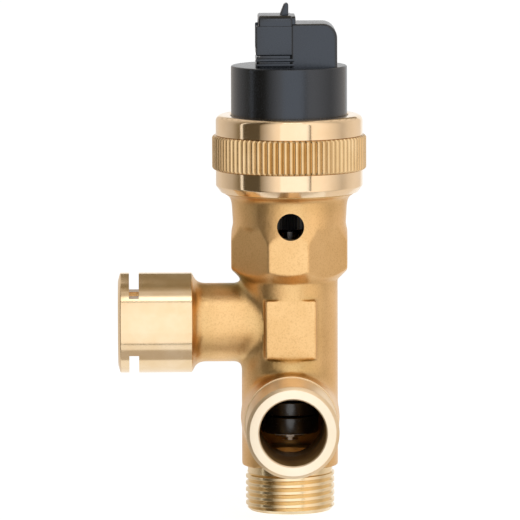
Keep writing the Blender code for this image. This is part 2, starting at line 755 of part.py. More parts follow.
def spline_prism(name, bottom, top, clearance):
    outline = star_outline(SPLINE_COUNT, SPINDLE_RADIUS + clearance, SPLINE_DEPTH)
    return prism(name, outline, top - bottom, location=(0, 0, (bottom + top) / 2))


def spindle():
    """The splined plunger with its lead screw on top."""
    splines = spline_prism("spindle", SPINDLE_Z, SPLINE_TOP_Z, 0.0)
    profile = [
        (0.0, SCREW_TOP_Z),
        (SCREW_RADIUS, SCREW_TOP_Z),
        (SCREW_RADIUS, SPLINE_TOP_Z - OVERLAP),
        (0.0, SPLINE_TOP_Z - OVERLAP),
    ]
    return combined(splines, "UNION", [turned("lead_screw", profile, INNER_FACETS)])


def actuator_base():
    """The base plate with its spigot, splined guide hole and lower bearing pocket."""
    guide_top = SPIGOT_Z + GUIDE_HEIGHT
    well = SPINDLE_RADIUS + RUN_GAP
    profile = [
        (0.0, BASE_TOP_Z),
        (BASE_RADIUS, BASE_TOP_Z),
        (BASE_RADIUS, HEAD_Z),
        (SPIGOT_RADIUS, HEAD_Z),
        (SPIGOT_RADIUS, SPIGOT_Z),
        (0.0, SPIGOT_Z),
    ]
    well_profile = [
        (0.0, BASE_TOP_Z + OVERLAP),
        (POCKET_RADIUS, BASE_TOP_Z + OVERLAP),
        (POCKET_RADIUS, LOWER_POCKET_Z),
        (well, LOWER_POCKET_Z),
        (well, guide_top),
        (0.0, guide_top),
    ]
    base = turned("actuator_base", profile, INNER_FACETS)
    guide = spline_prism("guide_hole", SPIGOT_Z - OVERLAP, guide_top + OVERLAP, RUN_GAP)
    return combined(base, "DIFFERENCE", [guide, turned("bearing_well", well_profile, INNER_FACETS)])


def head_cup():
    """The round cup of the housing, with its flange and the upper bearing boss."""
    pocket_top = UPPER_BEARING_TOP_Z + SEAL_GAP
    flange_top = HEAD_Z + FLANGE_THICKNESS
    profile = [
        (0.0, HEAD_TOP_Z),
        (HEAD_RADIUS - HEAD_EDGE, HEAD_TOP_Z),
        (HEAD_RADIUS, HEAD_TOP_Z - HEAD_EDGE),
        (HEAD_RADIUS, flange_top),
        (HEAD_FLANGE_RADIUS, flange_top),
        (HEAD_FLANGE_RADIUS, HEAD_Z),
        (HEAD_CAVITY_RADIUS, HEAD_Z),
        (HEAD_CAVITY_RADIUS, HEAD_ROOF_Z),
        (BEARING_BOSS_RADIUS, HEAD_ROOF_Z),
        (BEARING_BOSS_RADIUS, BOSS_Z),
        (POCKET_RADIUS, BOSS_Z),
        (POCKET_RADIUS, pocket_top),
        (0.0, pocket_top),
    ]
    return turned("actuator_housing", profile, LARGE_FACETS)


def head_block():
    """The rounded block on the right of the head."""
    bottom = HEAD_TOP_Z - OVERLAP
    top = HEAD_TOP_Z + BLOCK_TOP
    outline = [
        (SOCKET_RIGHT - OVERLAP, bottom),
        (BLOCK_RIGHT, bottom),
        *arc(BLOCK_RIGHT - BLOCK_ROUND, top - BLOCK_ROUND, BLOCK_ROUND, 0, 90),
        (SOCKET_RIGHT - OVERLAP, top),
    ]
    return prism("head_block", outline, 2 * SOCKET_HALF_DEPTH, rotation=AXIS_FRONT)


def head_nub():
    """The latch nub on the socket: a ramp from the left and an upright right face."""
    top = HEAD_TOP_Z + SOCKET_TOP + NUB_HEIGHT
    bottom = HEAD_TOP_Z + SOCKET_TOP - OVERLAP
    crest = (NUB_LEFT + NUB_RIGHT) / 2
    outline = [(NUB_LEFT, bottom), (NUB_RIGHT, bottom), (NUB_RIGHT, top), (crest, top)]
    return prism("head_nub", outline, 2 * NUB_HALF_DEPTH, rotation=AXIS_FRONT)


def head_socket():
    """The plug socket's outer box, rounded along its two upper edges."""
    half = SOCKET_HALF_DEPTH
    top = HEAD_TOP_Z + SOCKET_TOP
    low = (SOCKET_LEFT, -half, HEAD_TOP_Z + SOCKET_BOTTOM)
    high = (SOCKET_RIGHT + OVERLAP, half, top)
    socket = box("head_socket", low, high)
    bevel_top_edges(socket, top)
    return socket


def bevel_top_edges(obj, top):
    """Round the edges that run along X at the object's top."""
    weights = obj.data.attributes.new("bevel_weight_edge", "FLOAT", "EDGE")
    for edge in obj.data.edges:
        ends = [obj.matrix_world @ obj.data.vertices[index].co for index in edge.vertices]
        is_top = all(abs(end.z - top) < SEAT_GAP for end in ends)
        if is_top and abs(ends[0].y - ends[1].y) < SEAT_GAP:
            weights.data[edge.index].value = 1.0
    bevel = obj.modifiers.new("Top edges", "BEVEL")
    bevel.limit_method = "WEIGHT"
    bevel.width = SOCKET_ROUND
    bevel.segments = ARC_STEPS
    applied(obj)


def socket_rib(name, rise):
    half = SOCKET_HALF_DEPTH
    low = (SOCKET_LEFT, -half, HEAD_TOP_Z + rise)
    high = (SOCKET_RIGHT + OVERLAP / 2, half, HEAD_TOP_Z + rise + RIB_THICKNESS)
    return box(name, low, high)


def socket_pedestal():
    half = SOCKET_HALF_DEPTH - PEDESTAL_INSET
    low = (SOCKET_LEFT + PEDESTAL_INSET, -half, HEAD_TOP_Z - OVERLAP)
    high = (SOCKET_RIGHT + OVERLAP / 2, half, HEAD_TOP_Z + SOCKET_BOTTOM + OVERLAP)
    return box("socket_pedestal", low, high)


def collar_fin():
    half = SOCKET_HALF_DEPTH - SOCKET_ROUND / 2
    low = (SOCKET_RIGHT - OVERLAP, -half, HEAD_TOP_Z + BLOCK_TOP - OVERLAP)
    high = (SOCKET_RIGHT + COLLAR_FIN_WIDTH, half, HEAD_TOP_Z + SOCKET_TOP - SEAT_GAP)
    return box("collar_fin", low, high)


def pin_height():
    return HEAD_TOP_Z + (SOCKET_BOTTOM + SOCKET_TOP) / 2


def pin_box(name, index, clearance, left, right):
    """A bar along X at one pin's place, grown on its four sides by the clearance."""
    middle = (index - (PIN_COUNT - 1) / 2) * PIN_PITCH
    half = PIN_WIDTH / 2 + clearance
    low = (left, middle - half, pin_height() - half)
    high = (right, middle + half, pin_height() + half)
    return box(name, low, high)


def socket_cavity():
    half = SOCKET_HALF_DEPTH - SOCKET_WALL
    low = (SOCKET_LEFT - OVERLAP, -half, HEAD_TOP_Z + SOCKET_BOTTOM + SOCKET_WALL)
    high = (SOCKET_RIGHT - SOCKET_BACK, half, HEAD_TOP_Z + SOCKET_TOP - SOCKET_WALL)
    return box("socket_cavity", low, high)


def actuator_housing():
    additions = [
        bevelled(head_block(), BLOCK_BEVEL),
        socket_pedestal(),
        socket_rib("rib_lower", RIB_LOWER),
        socket_rib("rib_upper", RIB_UPPER),
        head_socket(),
        collar_fin(),
        head_nub(),
    ]
    housing = combined(head_cup(), "UNION", additions)
    back = SOCKET_RIGHT - SOCKET_BACK
    holes = [
        pin_box("pin_hole", index, RUN_GAP, back - OVERLAP, back + PIN_ROOT + SEAT_GAP)
        for index in range(PIN_COUNT)
    ]
    return combined(housing, "DIFFERENCE", [socket_cavity(), *holes])


def contact_pin(index):
    back = SOCKET_RIGHT - SOCKET_BACK
    return pin_box(f"contact_pin_{index + 1}", index, 0.0, back - PIN_REACH, back + PIN_ROOT)


def stator_cup(name, bottom):
    """One steel stator ring, open towards the rotor."""
    top = bottom + STATOR_HEIGHT
    wall = STATOR_RADIUS - STATOR_WALL
    profile = [
        (STATOR_BORE, top),
        (STATOR_RADIUS, top),
        (STATOR_RADIUS, bottom),
        (STATOR_BORE, bottom),
        (STATOR_BORE, bottom + STATOR_WALL),
        (wall, bottom + STATOR_WALL),
        (wall, top - STATOR_WALL),
        (STATOR_BORE, top - STATOR_WALL),
    ]
    return turned(name, profile, INNER_FACETS, ring=True)


def coil(name, bottom):
    inner = STATOR_BORE + COIL_WINDOW_INSET
    outer = STATOR_RADIUS - STATOR_WALL - SEAT_GAP
    low = bottom + STATOR_WALL + SEAT_GAP
    high = bottom + STATOR_HEIGHT - STATOR_WALL - SEAT_GAP
    return turned_ring(name, inner, outer, low, high, INNER_FACETS)


def bearing(name, bottom):
    inner = JOURNAL_RADIUS + RUN_GAP
    return turned_ring(name, inner, BEARING_RADIUS, bottom, bottom + BEARING_HEIGHT, INNER_FACETS)


def rotor_hub():
    journal_bottom = LOWER_BEARING_Z + SEAL_GAP
    journal_top = UPPER_BEARING_TOP_Z - SEAL_GAP
    profile = [
        (ROTOR_BORE, journal_top),
        (JOURNAL_RADIUS, journal_top),
        (JOURNAL_RADIUS, ROTOR_TOP_Z),
        (HUB_RADIUS, ROTOR_TOP_Z),
        (HUB_RADIUS, ROTOR_Z),
        (JOURNAL_RADIUS, ROTOR_Z),
        (JOURNAL_RADIUS, journal_bottom),
        (ROTOR_BORE, journal_bottom),
    ]
    return turned("rotor_hub", profile, INNER_FACETS, ring=True)


def union_nut():
    """The turned nut with its knurled band."""
    profile = [
        (NUT_LIP_BORE, NUT_TOP_Z),
        *arc(NUT_BAND_RADIUS - NUT_TOP_ROUND, NUT_TOP_Z - NUT_TOP_ROUND, NUT_TOP_ROUND, 90, 0),
        (NUT_BAND_RADIUS, NUT_Z + NUT_CHAMFER),
        (NUT_BAND_RADIUS - NUT_CHAMFER, NUT_Z),
        (NUT_BORE, NUT_Z),
        (NUT_BORE, NUT_LIP_Z),
        (NUT_LIP_BORE, NUT_LIP_Z),
    ]
    nut = turned("union_nut", profile, LARGE_FACETS, ring=True)
    outline = star_outline(NUT_KNURL_COUNT, NUT_KNURL_RADIUS, NUT_KNURL_DEPTH)
    middle = (KNURL_Z + KNURL_TOP_Z) / 2
    knurl = prism("knurl", outline, NUT_KNURL_HEIGHT, location=(0, 0, middle))
    inside = (NUT_BORE + NUT_BAND_RADIUS) / 2
    bottom = KNURL_Z - OVERLAP
    top = KNURL_TOP_Z + OVERLAP
    combined(knurl, "DIFFERENCE", [turned_ring("knurl_hollow", 0.0, inside, bottom, top, LARGE_FACETS)])
    return combined(nut, "UNION", [knurl])


def cage_seal(name, height):
    return torus_ring(name, O_RING_MEAN, O_RING_SECTION, height, INNER_FACETS)


def stem_seal(name, height):
    return torus_ring(name, STEM_SEAL_MEAN, STEM_SEAL_SECTION, height, INNER_FACETS)


def cage_circlip():
    inner = NECK_BORE_RADIUS - CIRCLIP_WIDTH + CIRCLIP_BITE
    outer = NECK_BORE_RADIUS + CIRCLIP_BITE
    return split_ring("cage_circlip", inner, outer, CIRCLIP_Z, CIRCLIP_THICKNESS, CLIP_MOUTH)


def spring_plate():
    bore = STEM_RADIUS + RUN_GAP
    top = SPRING_PLATE_Z + SPRING_PLATE_THICKNESS
    return turned_ring("spring_plate", bore, SPRING_PLATE_RADIUS, SPRING_PLATE_Z, top, INNER_FACETS)


def head_gasket():
    inner = NECK_BORE_RADIUS + RUN_GAP
    top = GASKET_Z + GASKET_THICKNESS
    return turned_ring("head_gasket", inner, HEAD_FLANGE_RADIUS, GASKET_Z, top, INNER_FACETS)


def rotor_magnet():
    inner = HUB_RADIUS + SEAT_GAP
    return turned_ring("rotor_magnet", inner, MAGNET_RADIUS, ROTOR_Z, ROTOR_TOP_Z, INNER_FACETS)


def build_parts():
    """Every sub-part with the name of its finish."""
    lower_seal, upper_seal = stem_seal_heights()
    upper_stator = STATOR_Z + STATOR_HEIGHT + SEAT_GAP
    parts = [
        (valve_body(), "cast_brass"),
        (cartridge_cage(), "grey_plastic"),
        (cage_seal("cage_o_ring_lower", LOWER_O_RING_Z), "rubber"),
        (cage_seal("cage_o_ring_upper", UPPER_O_RING_Z), "rubber"),
        (stem_seal("stem_seal_lower", lower_seal), "rubber"),
        (stem_seal("stem_seal_upper", upper_seal), "rubber"),
        (cage_circlip(), "stainless"),
        (return_spring(), "stainless"),
        (spring_plate(), "stainless"),
        (stem_clip("spring_clip", SPRING_CLIP_Z), "stainless"),
        (stem_clip("plug_clip_lower", PLUG_CLIP_LOWER_Z), "stainless"),
        (stem_clip("plug_clip_upper", PLUG_CLIP_UPPER_Z), "stainless"),
        (valve_stem(), "stainless"),
        (plug_disc("plug_seal_lower", PLUG_BOTTOM_Z, CORE_BOTTOM_Z - SEAT_GAP), "rubber"),
        (plug_disc("plug_core", CORE_BOTTOM_Z, CORE_TOP_Z), "grey_plastic"),
        (plug_disc("plug_seal_upper", CORE_TOP_Z + SEAT_GAP, PLUG_TOP_Z), "rubber"),
        (spindle(), "black_plastic"),
        (actuator_base(), "black_plastic"),
        (head_gasket(), "rubber"),
        (actuator_housing(), "black_plastic"),
        (stator_cup("stator_lower", STATOR_Z), "motor_steel"),
        (stator_cup("stator_upper", upper_stator), "motor_steel"),
        (coil("coil_lower", STATOR_Z), "copper_winding"),
        (coil("coil_upper", upper_stator), "copper_winding"),
        (bearing("rotor_bearing_lower", LOWER_BEARING_Z), "motor_steel"),
        (bearing("rotor_bearing_upper", UPPER_BEARING_Z), "motor_steel"),
        (rotor_hub(), "grey_plastic"),
        (rotor_magnet(), "magnet"),
        (union_nut(), "turned_brass"),
    ]
    parts += [(contact_pin(index), "turned_brass") for index in range(PIN_COUNT)]
    return parts


def main():
    clear_scene()
    parts = new_collection("three_port_valve")
    cutters = new_collection("cutters")
    finished = build_parts()
    for obj, finish in finished:
        obj.data.materials.clear()
        obj.data.materials.append(finish_material(finish))
        obj.data.shade_smooth()
        obj.data.set_sharp_from_angle(angle=SHARP_ANGLE)
    kept = {obj.name for obj, _ in finished}
    for obj in list(bpy.context.scene.collection.objects):
        bpy.context.scene.collection.objects.unlink(obj)
        (parts if obj.name in kept else cutters).objects.link(obj)
    cutters.hide_render = True


main()
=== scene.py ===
"""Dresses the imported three-port valve: casting, ports, thread, nut, head, plug and spring."""
import json
import math

import bmesh
import bpy
from mathutils import Matrix, Vector


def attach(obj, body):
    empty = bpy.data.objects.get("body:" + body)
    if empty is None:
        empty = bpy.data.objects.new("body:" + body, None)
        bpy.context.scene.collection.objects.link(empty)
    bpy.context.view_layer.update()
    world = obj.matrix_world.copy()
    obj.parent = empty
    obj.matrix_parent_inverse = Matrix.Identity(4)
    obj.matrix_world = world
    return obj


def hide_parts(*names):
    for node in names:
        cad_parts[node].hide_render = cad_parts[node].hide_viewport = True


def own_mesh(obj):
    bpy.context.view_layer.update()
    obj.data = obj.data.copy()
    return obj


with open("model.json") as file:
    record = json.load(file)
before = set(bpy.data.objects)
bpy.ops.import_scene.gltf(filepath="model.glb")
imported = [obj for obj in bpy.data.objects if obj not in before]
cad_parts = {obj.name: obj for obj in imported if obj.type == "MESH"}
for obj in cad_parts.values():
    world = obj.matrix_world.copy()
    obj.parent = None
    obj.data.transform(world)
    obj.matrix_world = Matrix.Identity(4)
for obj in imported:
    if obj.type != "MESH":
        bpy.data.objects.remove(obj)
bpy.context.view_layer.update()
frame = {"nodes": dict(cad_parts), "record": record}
MM = 0.001

# Places and sizes in millimetres, most of them the solids' own
THREAD_R, THREAD_TOP, THREAD_PITCH, THREAD_DEPTH = 13.22, 13.8, 2.0, 0.80
RELIEF_Z, RELIEF_R = 11.4, 12.62
BODY_R, NECK_R, COLLAR_R = 14.3, 17.2, 19.6
DIAGONAL_FLAT, FLAT_TWIST, FLATS_CORE_R, FLATS_TOP_R = 16.3, -2.5, 15.6, 16.7
FLATS_FULL_Z, FLATS_ROUND_Z, FLATS_TOP_Z = 80.7, 83.6, 86.0
WAIST = [(17.05, 90.8), (16.9, 88.0), (16.75, 85.5)]
CASTING_LOW = 13.4
PLAQUE_WIDE, PLAQUE_Z0, PLAQUE_Z1, PLAQUE_PROUD, PLAQUE_ROOT = 15.2, 46.4, 64.0, 0.3, 10.0
FRONT_Z, LEFT_Z = 28.25, 56.1
SHOULDER_Z, NECK_Z, FLARE_Z, COLLAR_Z, RIM_Z = 68.9, 71.8, 93.3, 94.8, 110.3
FRONT_R, FRONT_BORE, FRONT_REACH, FRONT_PORT, FRONT_BOSS_R = 13.6, 9.8, 40.0, 20.0, 14.6
LEFT_R, LEFT_BORE, LEFT_REACH, LEFT_PORT = 14.9, 10.0, 51.0, 22.0
LEFT_NECK_R, LEFT_NECK_BORE = 11.7, 8.8
SLOT_X0, SLOT_X1, SLOT_FLOOR = -47.7, -44.8, 8.5
WEEP_Z, WEEP_R = 86.15, 4.0
BOTTOM_BORE, SEAT_R, SEAT_Z, SEAT_WEB = 9.0, 7.0, 18.15, 4.0
CHAMBER_R, CARTRIDGE_BORE, LEDGE_Z = 10.6, 11.6, 38.35
NECK_BORE, NECK_FLOOR_Z = 13.0, 74.4
HEAD_R, HEAD_Z, HEAD_TOP = 17.2, 111.4, 132.6
NUT_Z, NUT_LIP_Z, NUT_TOP, NUT_R, NUT_BORE = 95.1, 115.0, 118.0, 21.8, 19.9
KNURL_R, KNURL_Z0, KNURL_Z1, KNURL_COUNT = 22.87, 101.8, 112.0, 84
PLUG_R, PLUG_BORE, PLUG_LOW, PLUG_TOP, PLUG_CORE = 8.5, 2.8, 23.25, 38.35, 4.0
SPRING_LOW, SPRING_LENGTH, SPRING_MEAN, SPRING_WIRE, SPRING_TURNS = 43.15, 17.9, 8.2, 0.6, 5
MIDDLE_Z = 75
# How far a join's fillet reaches, where the branches' joins begin, and the plaque's unsmoothed rim
JOIN_REACH, LEFT_OF, FRONT_OF, PLAQUE_EDGE, PLAQUE_FRONT = 3.6, -4, -1, 0.6, -11
# Slack when faces are picked by their place, and sides of the round shapes
NEAR = 0.02
ROUND, BORE_ROUND, PORT_ROUND, WEEP_ROUND = 128, 96, 160, 64

AXIS_UP = Matrix.Identity(4)
AXIS_LEFT = Matrix.Translation((0, 0, LEFT_Z * MM)) @ Matrix.Rotation(-math.pi / 2, 4, "Y")
AXIS_FRONT = Matrix.Translation((0, 0, FRONT_Z * MM)) @ Matrix.Rotation(math.pi / 2, 4, "X")
AXIS_WEEP = Matrix.Translation((0, 0, WEEP_Z * MM)) @ Matrix.Rotation(math.pi / 2, 4, "X")


def piece_from(name, verts, faces, matrix=AXIS_UP):
    """A mesh object from millimetre points, with outward faces."""
    mesh = bpy.data.meshes.new(name)
    mesh.from_pydata([matrix @ (Vector(v) * MM) for v in verts], [], faces)
    shape = bmesh.new()
    shape.from_mesh(mesh)
    bmesh.ops.remove_doubles(shape, verts=shape.verts, dist=1e-7)
    bmesh.ops.recalc_face_normals(shape, faces=shape.faces)
    shape.to_mesh(mesh)
    shape.free()
    obj = bpy.data.objects.new(name, mesh)
    bpy.context.scene.collection.objects.link(obj)
    return obj


def ring_faces(rows, segments):
    """Quads between each ring of points and the next; the last row meets the first."""
    faces = []
    for row in range(rows):
        a = row * segments
        b = (row + 1) % rows * segments
        for step in range(segments):
            after = (step + 1) % segments
            faces.append((a + step, a + after, b + after, b + step))
    return faces


def lathe(name, profile, segments, matrix=AXIS_UP):
    """Turn a closed loop of (radius, height) points round the matrix's Z axis."""
    verts = []
    for radius, height in profile:
        for step in range(segments):
            angle = 2 * math.pi * (step + 0.5) / segments
            verts.append((radius * math.cos(angle), radius * math.sin(angle), height))
    return piece_from(name, verts, ring_faces(len(profile), segments), matrix)


def rod(name, radius, low, high, matrix, segments=BORE_ROUND):
    """A plain cylinder on the matrix's Z axis."""
    return lathe(name, [(0.0, high), (radius, high), (radius, low), (0.0, low)], segments, matrix)


def spread(low, high, count):
    """Evenly spaced values from low to high, with count steps between them."""
    return [low + (high - low) * i / count for i in range(count + 1)]


def arc(cx, cy, radius, start, end, steps=6):
    """Points on an arc, angles in degrees."""
    angles = [math.radians(angle) for angle in spread(start, end, steps)]
    return [(cx + radius * math.cos(a), cy + radius * math.sin(a)) for a in angles]


def prism_faces(count):
    """Two ends and the walls between them, for two rings of count points."""
    faces = [tuple(range(count)), tuple(range(count, 2 * count))]
    faces += [(i, (i + 1) % count, count + (i + 1) % count, count + i) for i in range(count)]
    return faces


def prism(name, outline, low, high, axis, edge=0.0, segments=3):
    """Push an outline along an axis: "Y" takes (x, z) points and "X" takes (y, z) points."""
    verts = []
    for along in (low, high):
        verts += [(a, along, b) if axis == "Y" else (along, a, b) for a, b in outline]
    obj = piece_from(name, verts, prism_faces(len(outline)))
    if edge:
        bevel = obj.modifiers.new("edge", "BEVEL")
        bevel.width = edge * MM
        bevel.segments = segments
        bevel.limit_method = "ANGLE"
        bevel.angle_limit = math.radians(40)
        applied(obj)
    return obj


def rectangle(x0, x1, y0, y1):
    """The four corners of an outline."""
    return [(x0, y0), (x1, y0), (x1, y1), (x0, y1)]


def applied(obj):
    """Bake the modifiers into the mesh."""
    graph = bpy.context.evaluated_depsgraph_get()
    mesh = bpy.data.meshes.new_from_object(obj.evaluated_get(graph))
    obj.modifiers.clear()
    obj.data = mesh
    return obj


def combine(obj, operation, *others):
    """Boolean with each other object, which is then removed."""
    for other in others:
        modifier = obj.modifiers.new("combine", "BOOLEAN")
        modifier.operation = operation
        modifier.solver = "MANIFOLD"
        modifier.object = other
        applied(obj)
        bpy.data.objects.remove(other)
    return obj


def softened(obj, voxel, rounds):
    """Remesh evenly and smooth, which rounds every inner and outer edge as a casting's are."""
    remesh = obj.modifiers.new("remesh", "REMESH")
    remesh.mode = "VOXEL"
    remesh.voxel_size = voxel * MM
    smooth = obj.modifiers.new("smooth", "SMOOTH")
    smooth.factor = 0.5
    smooth.iterations = rounds
    return applied(obj)


def eased(obj, rounds):
    """Smooth further where a branch meets the barrel, which leaves a moulder's fillet there."""
    group = obj.vertex_groups.new(name="joins")
    for vertex in obj.data.vertices:
        p = vertex.co / MM
        past_plaque = max(abs(p.x) - PLAQUE_WIDE / 2, PLAQUE_Z0 - p.z, p.z - PLAQUE_Z1)
        if past_plaque < PLAQUE_EDGE and p.y < PLAQUE_FRONT:
            continue
        barrel = abs(math.hypot(p.x, p.y) - BODY_R)
        left = abs(math.hypot(p.y, p.z - LEFT_Z) - LEFT_NECK_R) if p.x < LEFT_OF else math.inf
        front = abs(math.hypot(p.x, p.z - FRONT_Z) - FRONT_BOSS_R) if p.y < FRONT_OF else math.inf
        near = max(barrel, min(left, front))
        if near < JOIN_REACH:
            group.add([vertex.index], min(1.0, 2 - 2 * near / JOIN_REACH), "REPLACE")
    smooth = obj.modifiers.new("joins", "SMOOTH")
    smooth.vertex_group = group.name
    smooth.factor = 0.5
    smooth.iterations = rounds
    return applied(obj)


def shaded(obj, angle=35):
    """Smooth shading that keeps edges sharper than the angle crisp."""
    obj.data.shade_smooth()
    obj.data.set_sharp_from_angle(angle=math.radians(angle))
    return obj


def finish(obj, body, material, nodes):
    """Give a piece its body, slot and material, and let it stand for its CAD nodes."""
    obj.data.materials.clear()
    obj.data.materials.append(material)
    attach(obj, body)
    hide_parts(*nodes)
    return obj


def lined(obj, material, inside):
    """Give the faces whose centre (in millimetres) is inside a further material."""
    obj.data.materials.append(material)
    for face in obj.data.polygons:
        if inside(face.center / MM):
            face.material_index = len(obj.data.materials) - 1
    return obj


def in_waterway(p):
    """True on the walls of the upright chamber, the two branch bores and the neck's hollow."""
    round_up = math.hypot(p.x, p.y)
    round_left = math.hypot(p.y, p.z - LEFT_Z)
    round_front = math.hypot(p.x, p.z - FRONT_Z)
    chamber = round_up < NECK_BORE + NEAR and 0.3 < p.z < RIM_Z - 0.1
    left_neck = round_left < LEFT_NECK_BORE + NEAR and p.x < 0
    left_end = round_left < LEFT_BORE + 0.4 and p.x < LEFT_PORT - LEFT_REACH - 0.2
    front = round_front < FRONT_BORE + NEAR and 0.2 - FRONT_REACH < p.y < 0
    return chamber or left_neck or left_end or front


def in_slot(p):
    """True on the floors of the clip slots."""
    return SLOT_X0 + 0.01 < p.x < SLOT_X1 - 0.01 and abs(abs(p.z - LEFT_Z) - SLOT_FLOOR) < 0.01


def on_front_face(p):
    """True on the front port's machined end."""
    return p.y < NEAR - FRONT_REACH


def on_knurl(p):
    """True on the nut's ridged band."""
    return KNURL_Z0 + NEAR < p.z < KNURL_Z1 - NEAR and math.hypot(p.x, p.y) > NUT_R - 0.3


class Nodes:
    """A small builder for one material's node tree."""

    def __init__(self, name):
        self.material = bpy.data.materials.new(name)
        self.material.use_nodes = True
        self.tree = self.material.node_tree
        self.shader = self.tree.nodes["Principled BSDF"]

    def link(self, source, target):
        self.tree.links.new(source, target)

    def coordinates(self, scale=(1, 1, 1)):
        place = self.tree.nodes.new("ShaderNodeTexCoord")
        mapping = self.tree.nodes.new("ShaderNodeMapping")
        mapping.inputs["Scale"].default_value = scale
        self.link(place.outputs["Object"], mapping.inputs["Vector"])
        return mapping.outputs["Vector"]

    def noise(self, vector, scale, detail=3.0, rough=0.55):
        node = self.tree.nodes.new("ShaderNodeTexNoise")
        node.inputs["Scale"].default_value = scale
        node.inputs["Detail"].default_value = detail
        node.inputs["Roughness"].default_value = rough
        self.link(vector, node.inputs["Vector"])
        return node.outputs["Fac"]

    def ramp(self, value, stops):
        node = self.tree.nodes.new("ShaderNodeValToRGB")
        fill_ramp(node, stops)
        self.link(value, node.inputs["Fac"])
        return node.outputs["Color"]

    def tinted(self, colour, tint, factor):
        """The colour multiplied by a tint where the factor is high."""
        node = self.tree.nodes.new("ShaderNodeMix")
        node.data_type = "RGBA"
        node.blend_type = "MULTIPLY"
        self.link(factor, node.inputs["Factor"])
        self.link(colour, node.inputs["A"])
        node.inputs["B"].default_value = (*tint, 1.0)
        return node.outputs["Result"]

    def span(self, value, low, high, start=0.0, end=1.0):
        node = self.tree.nodes.new("ShaderNodeMapRange")
        node.inputs["From Min"].default_value = start
        node.inputs["From Max"].default_value = end
        node.inputs["To Min"].default_value = low
        node.inputs["To Max"].default_value = high
        self.link(value, node.inputs["Value"])
        return node.outputs["Result"]

    def painted_hollow_shade(self):
        """High in concave places and low on crests: the mask for painted shade in hollows."""
        node = self.tree.nodes.new("ShaderNodeNewGeometry")
        return self.span(node.outputs["Pointiness"], 1.0, 0.0, 0.42, 0.52)

    def corners(self, distance):
        """High deep in inner corners: the mask for painted shade there."""
        node = self.tree.nodes.new("ShaderNodeAmbientOcclusion")
        node.samples = 8
        node.inputs["Distance"].default_value = distance
        return self.span(node.outputs["AO"], 1.0, 0.0, 0.52, 0.97)

    def bump(self, height, strength, distance, under=None):
        node = self.tree.nodes.new("ShaderNodeBump")
        node.inputs["Strength"].default_value = strength
        node.inputs["Distance"].default_value = distance
        self.link(height, node.inputs["Height"])
        if under:
            self.link(under, node.inputs["Normal"])
        return node.outputs["Normal"]

    def set(self, **values):
        """Link or set the shader's sockets by name, and give back the material."""
        for key, value in values.items():
            socket = self.shader.inputs[key.replace("_", " ")]
            if isinstance(value, bpy.types.NodeSocket):
                self.link(value, socket)
            else:
                socket.default_value = value
        return self.material


def fill_ramp(node, stops):
    """Give a colour ramp its (position, colour) stops."""
    elements = node.color_ramp.elements
    while len(elements) < len(stops):
        elements.new(0.5)
    for element, (position, colour) in zip(elements, stops):
        element.position = position
        element.color = (*colour, 1.0)


def cast_brass():
    """Blasted casting skin: sandy grain, broad tone changes and painted olive shade in the inner
    corners.
    """
    m = Nodes("cast_brass_skin")
    at = m.coordinates()
    broad = m.noise(at, 90, 4)
    grain = m.noise(at, 2100, 2, 0.6)
    pits = m.noise(at, 700, 3, 0.6)
    colour = m.ramp(broad, [(0.30, (0.81, 0.515, 0.228)), (0.70, (0.89, 0.587, 0.280))])
    colour = m.tinted(colour, (0.88, 0.85, 0.80), m.span(grain, 1.0, 0.0, 0.30, 0.52))
    # Painted shade: an olive darkening deep in the inner corners
    colour = m.tinted(colour, (0.44, 0.50, 0.36), m.corners(0.007))
    normal = m.bump(pits, 0.22, 0.0003)
    normal = m.bump(grain, 0.28, 0.00014, normal)
    return m.set(Base_Color=colour, Metallic=1.0, Roughness=m.span(pits, 0.28, 0.40), Normal=normal)


def turned_brass(name, axis, dark=(0.86, 0.64, 0.38), light=(0.93, 0.74, 0.50), rough=0.22):
    """Machined brass with fine tool marks round an axis, which draw its highlights out along it."""
    m = Nodes(name)
    scale = [20.0, 20.0, 20.0]
    scale["XYZ".index(axis)] = 5200.0
    lines = m.noise(m.coordinates(scale), 1.0, 2, 0.6)
    patch = m.noise(m.coordinates(), 120, 3)
    colour = m.ramp(patch, [(0.3, dark), (0.7, light)])
    around = m.tree.nodes.new("ShaderNodeTangent")
    around.direction_type = "RADIAL"
    around.axis = axis
    return m.set(Base_Color=colour, Metallic=1.0,
                 Roughness=m.span(patch, rough - 0.04, rough + 0.05),
                 Anisotropic=0.85, Anisotropic_Rotation=0.25, Tangent=around.outputs["Tangent"],
                 Normal=m.bump(lines, 0.08, 0.00005))


def painted_shade_brass(name, metallic, rough):
    """The waterway's inside: duller brass, darker and browner as painted shade in the bores."""
    m = Nodes(name)
    at = m.coordinates()
    broad = m.noise(at, 180, 4)
    fine = m.noise(at, 1600, 2)
    colour = m.ramp(broad, [(0.3, (0.37, 0.205, 0.062)), (0.7, (0.53, 0.325, 0.112))])
    return m.set(Base_Color=colour, Metallic=metallic, Roughness=m.span(broad, rough, rough + 0.16),
                 Specular_IOR_Level=0.2, Normal=m.bump(fine, 0.25, 0.0001))


def cut_brass(name, axis, dark, light, groove):
    """Machined brass with painted shade darkening its grooves below their crests."""
    m = Nodes(name)
    scale = [30.0, 30.0, 30.0]
    scale[axis] = 3600.0
    lines = m.noise(m.coordinates(scale), 1.0, 2, 0.6)
    patch = m.noise(m.coordinates(), 150, 3)
    colour = m.ramp(patch, [(0.3, dark), (0.7, light)])
    # Painted shade: the groove tint darkens the hollows
    colour = m.tinted(colour, groove, m.painted_hollow_shade())
    return m.set(Base_Color=colour, Metallic=1.0, Roughness=m.span(patch, 0.16, 0.26),
                 Normal=m.bump(lines, 0.10, 0.00005))


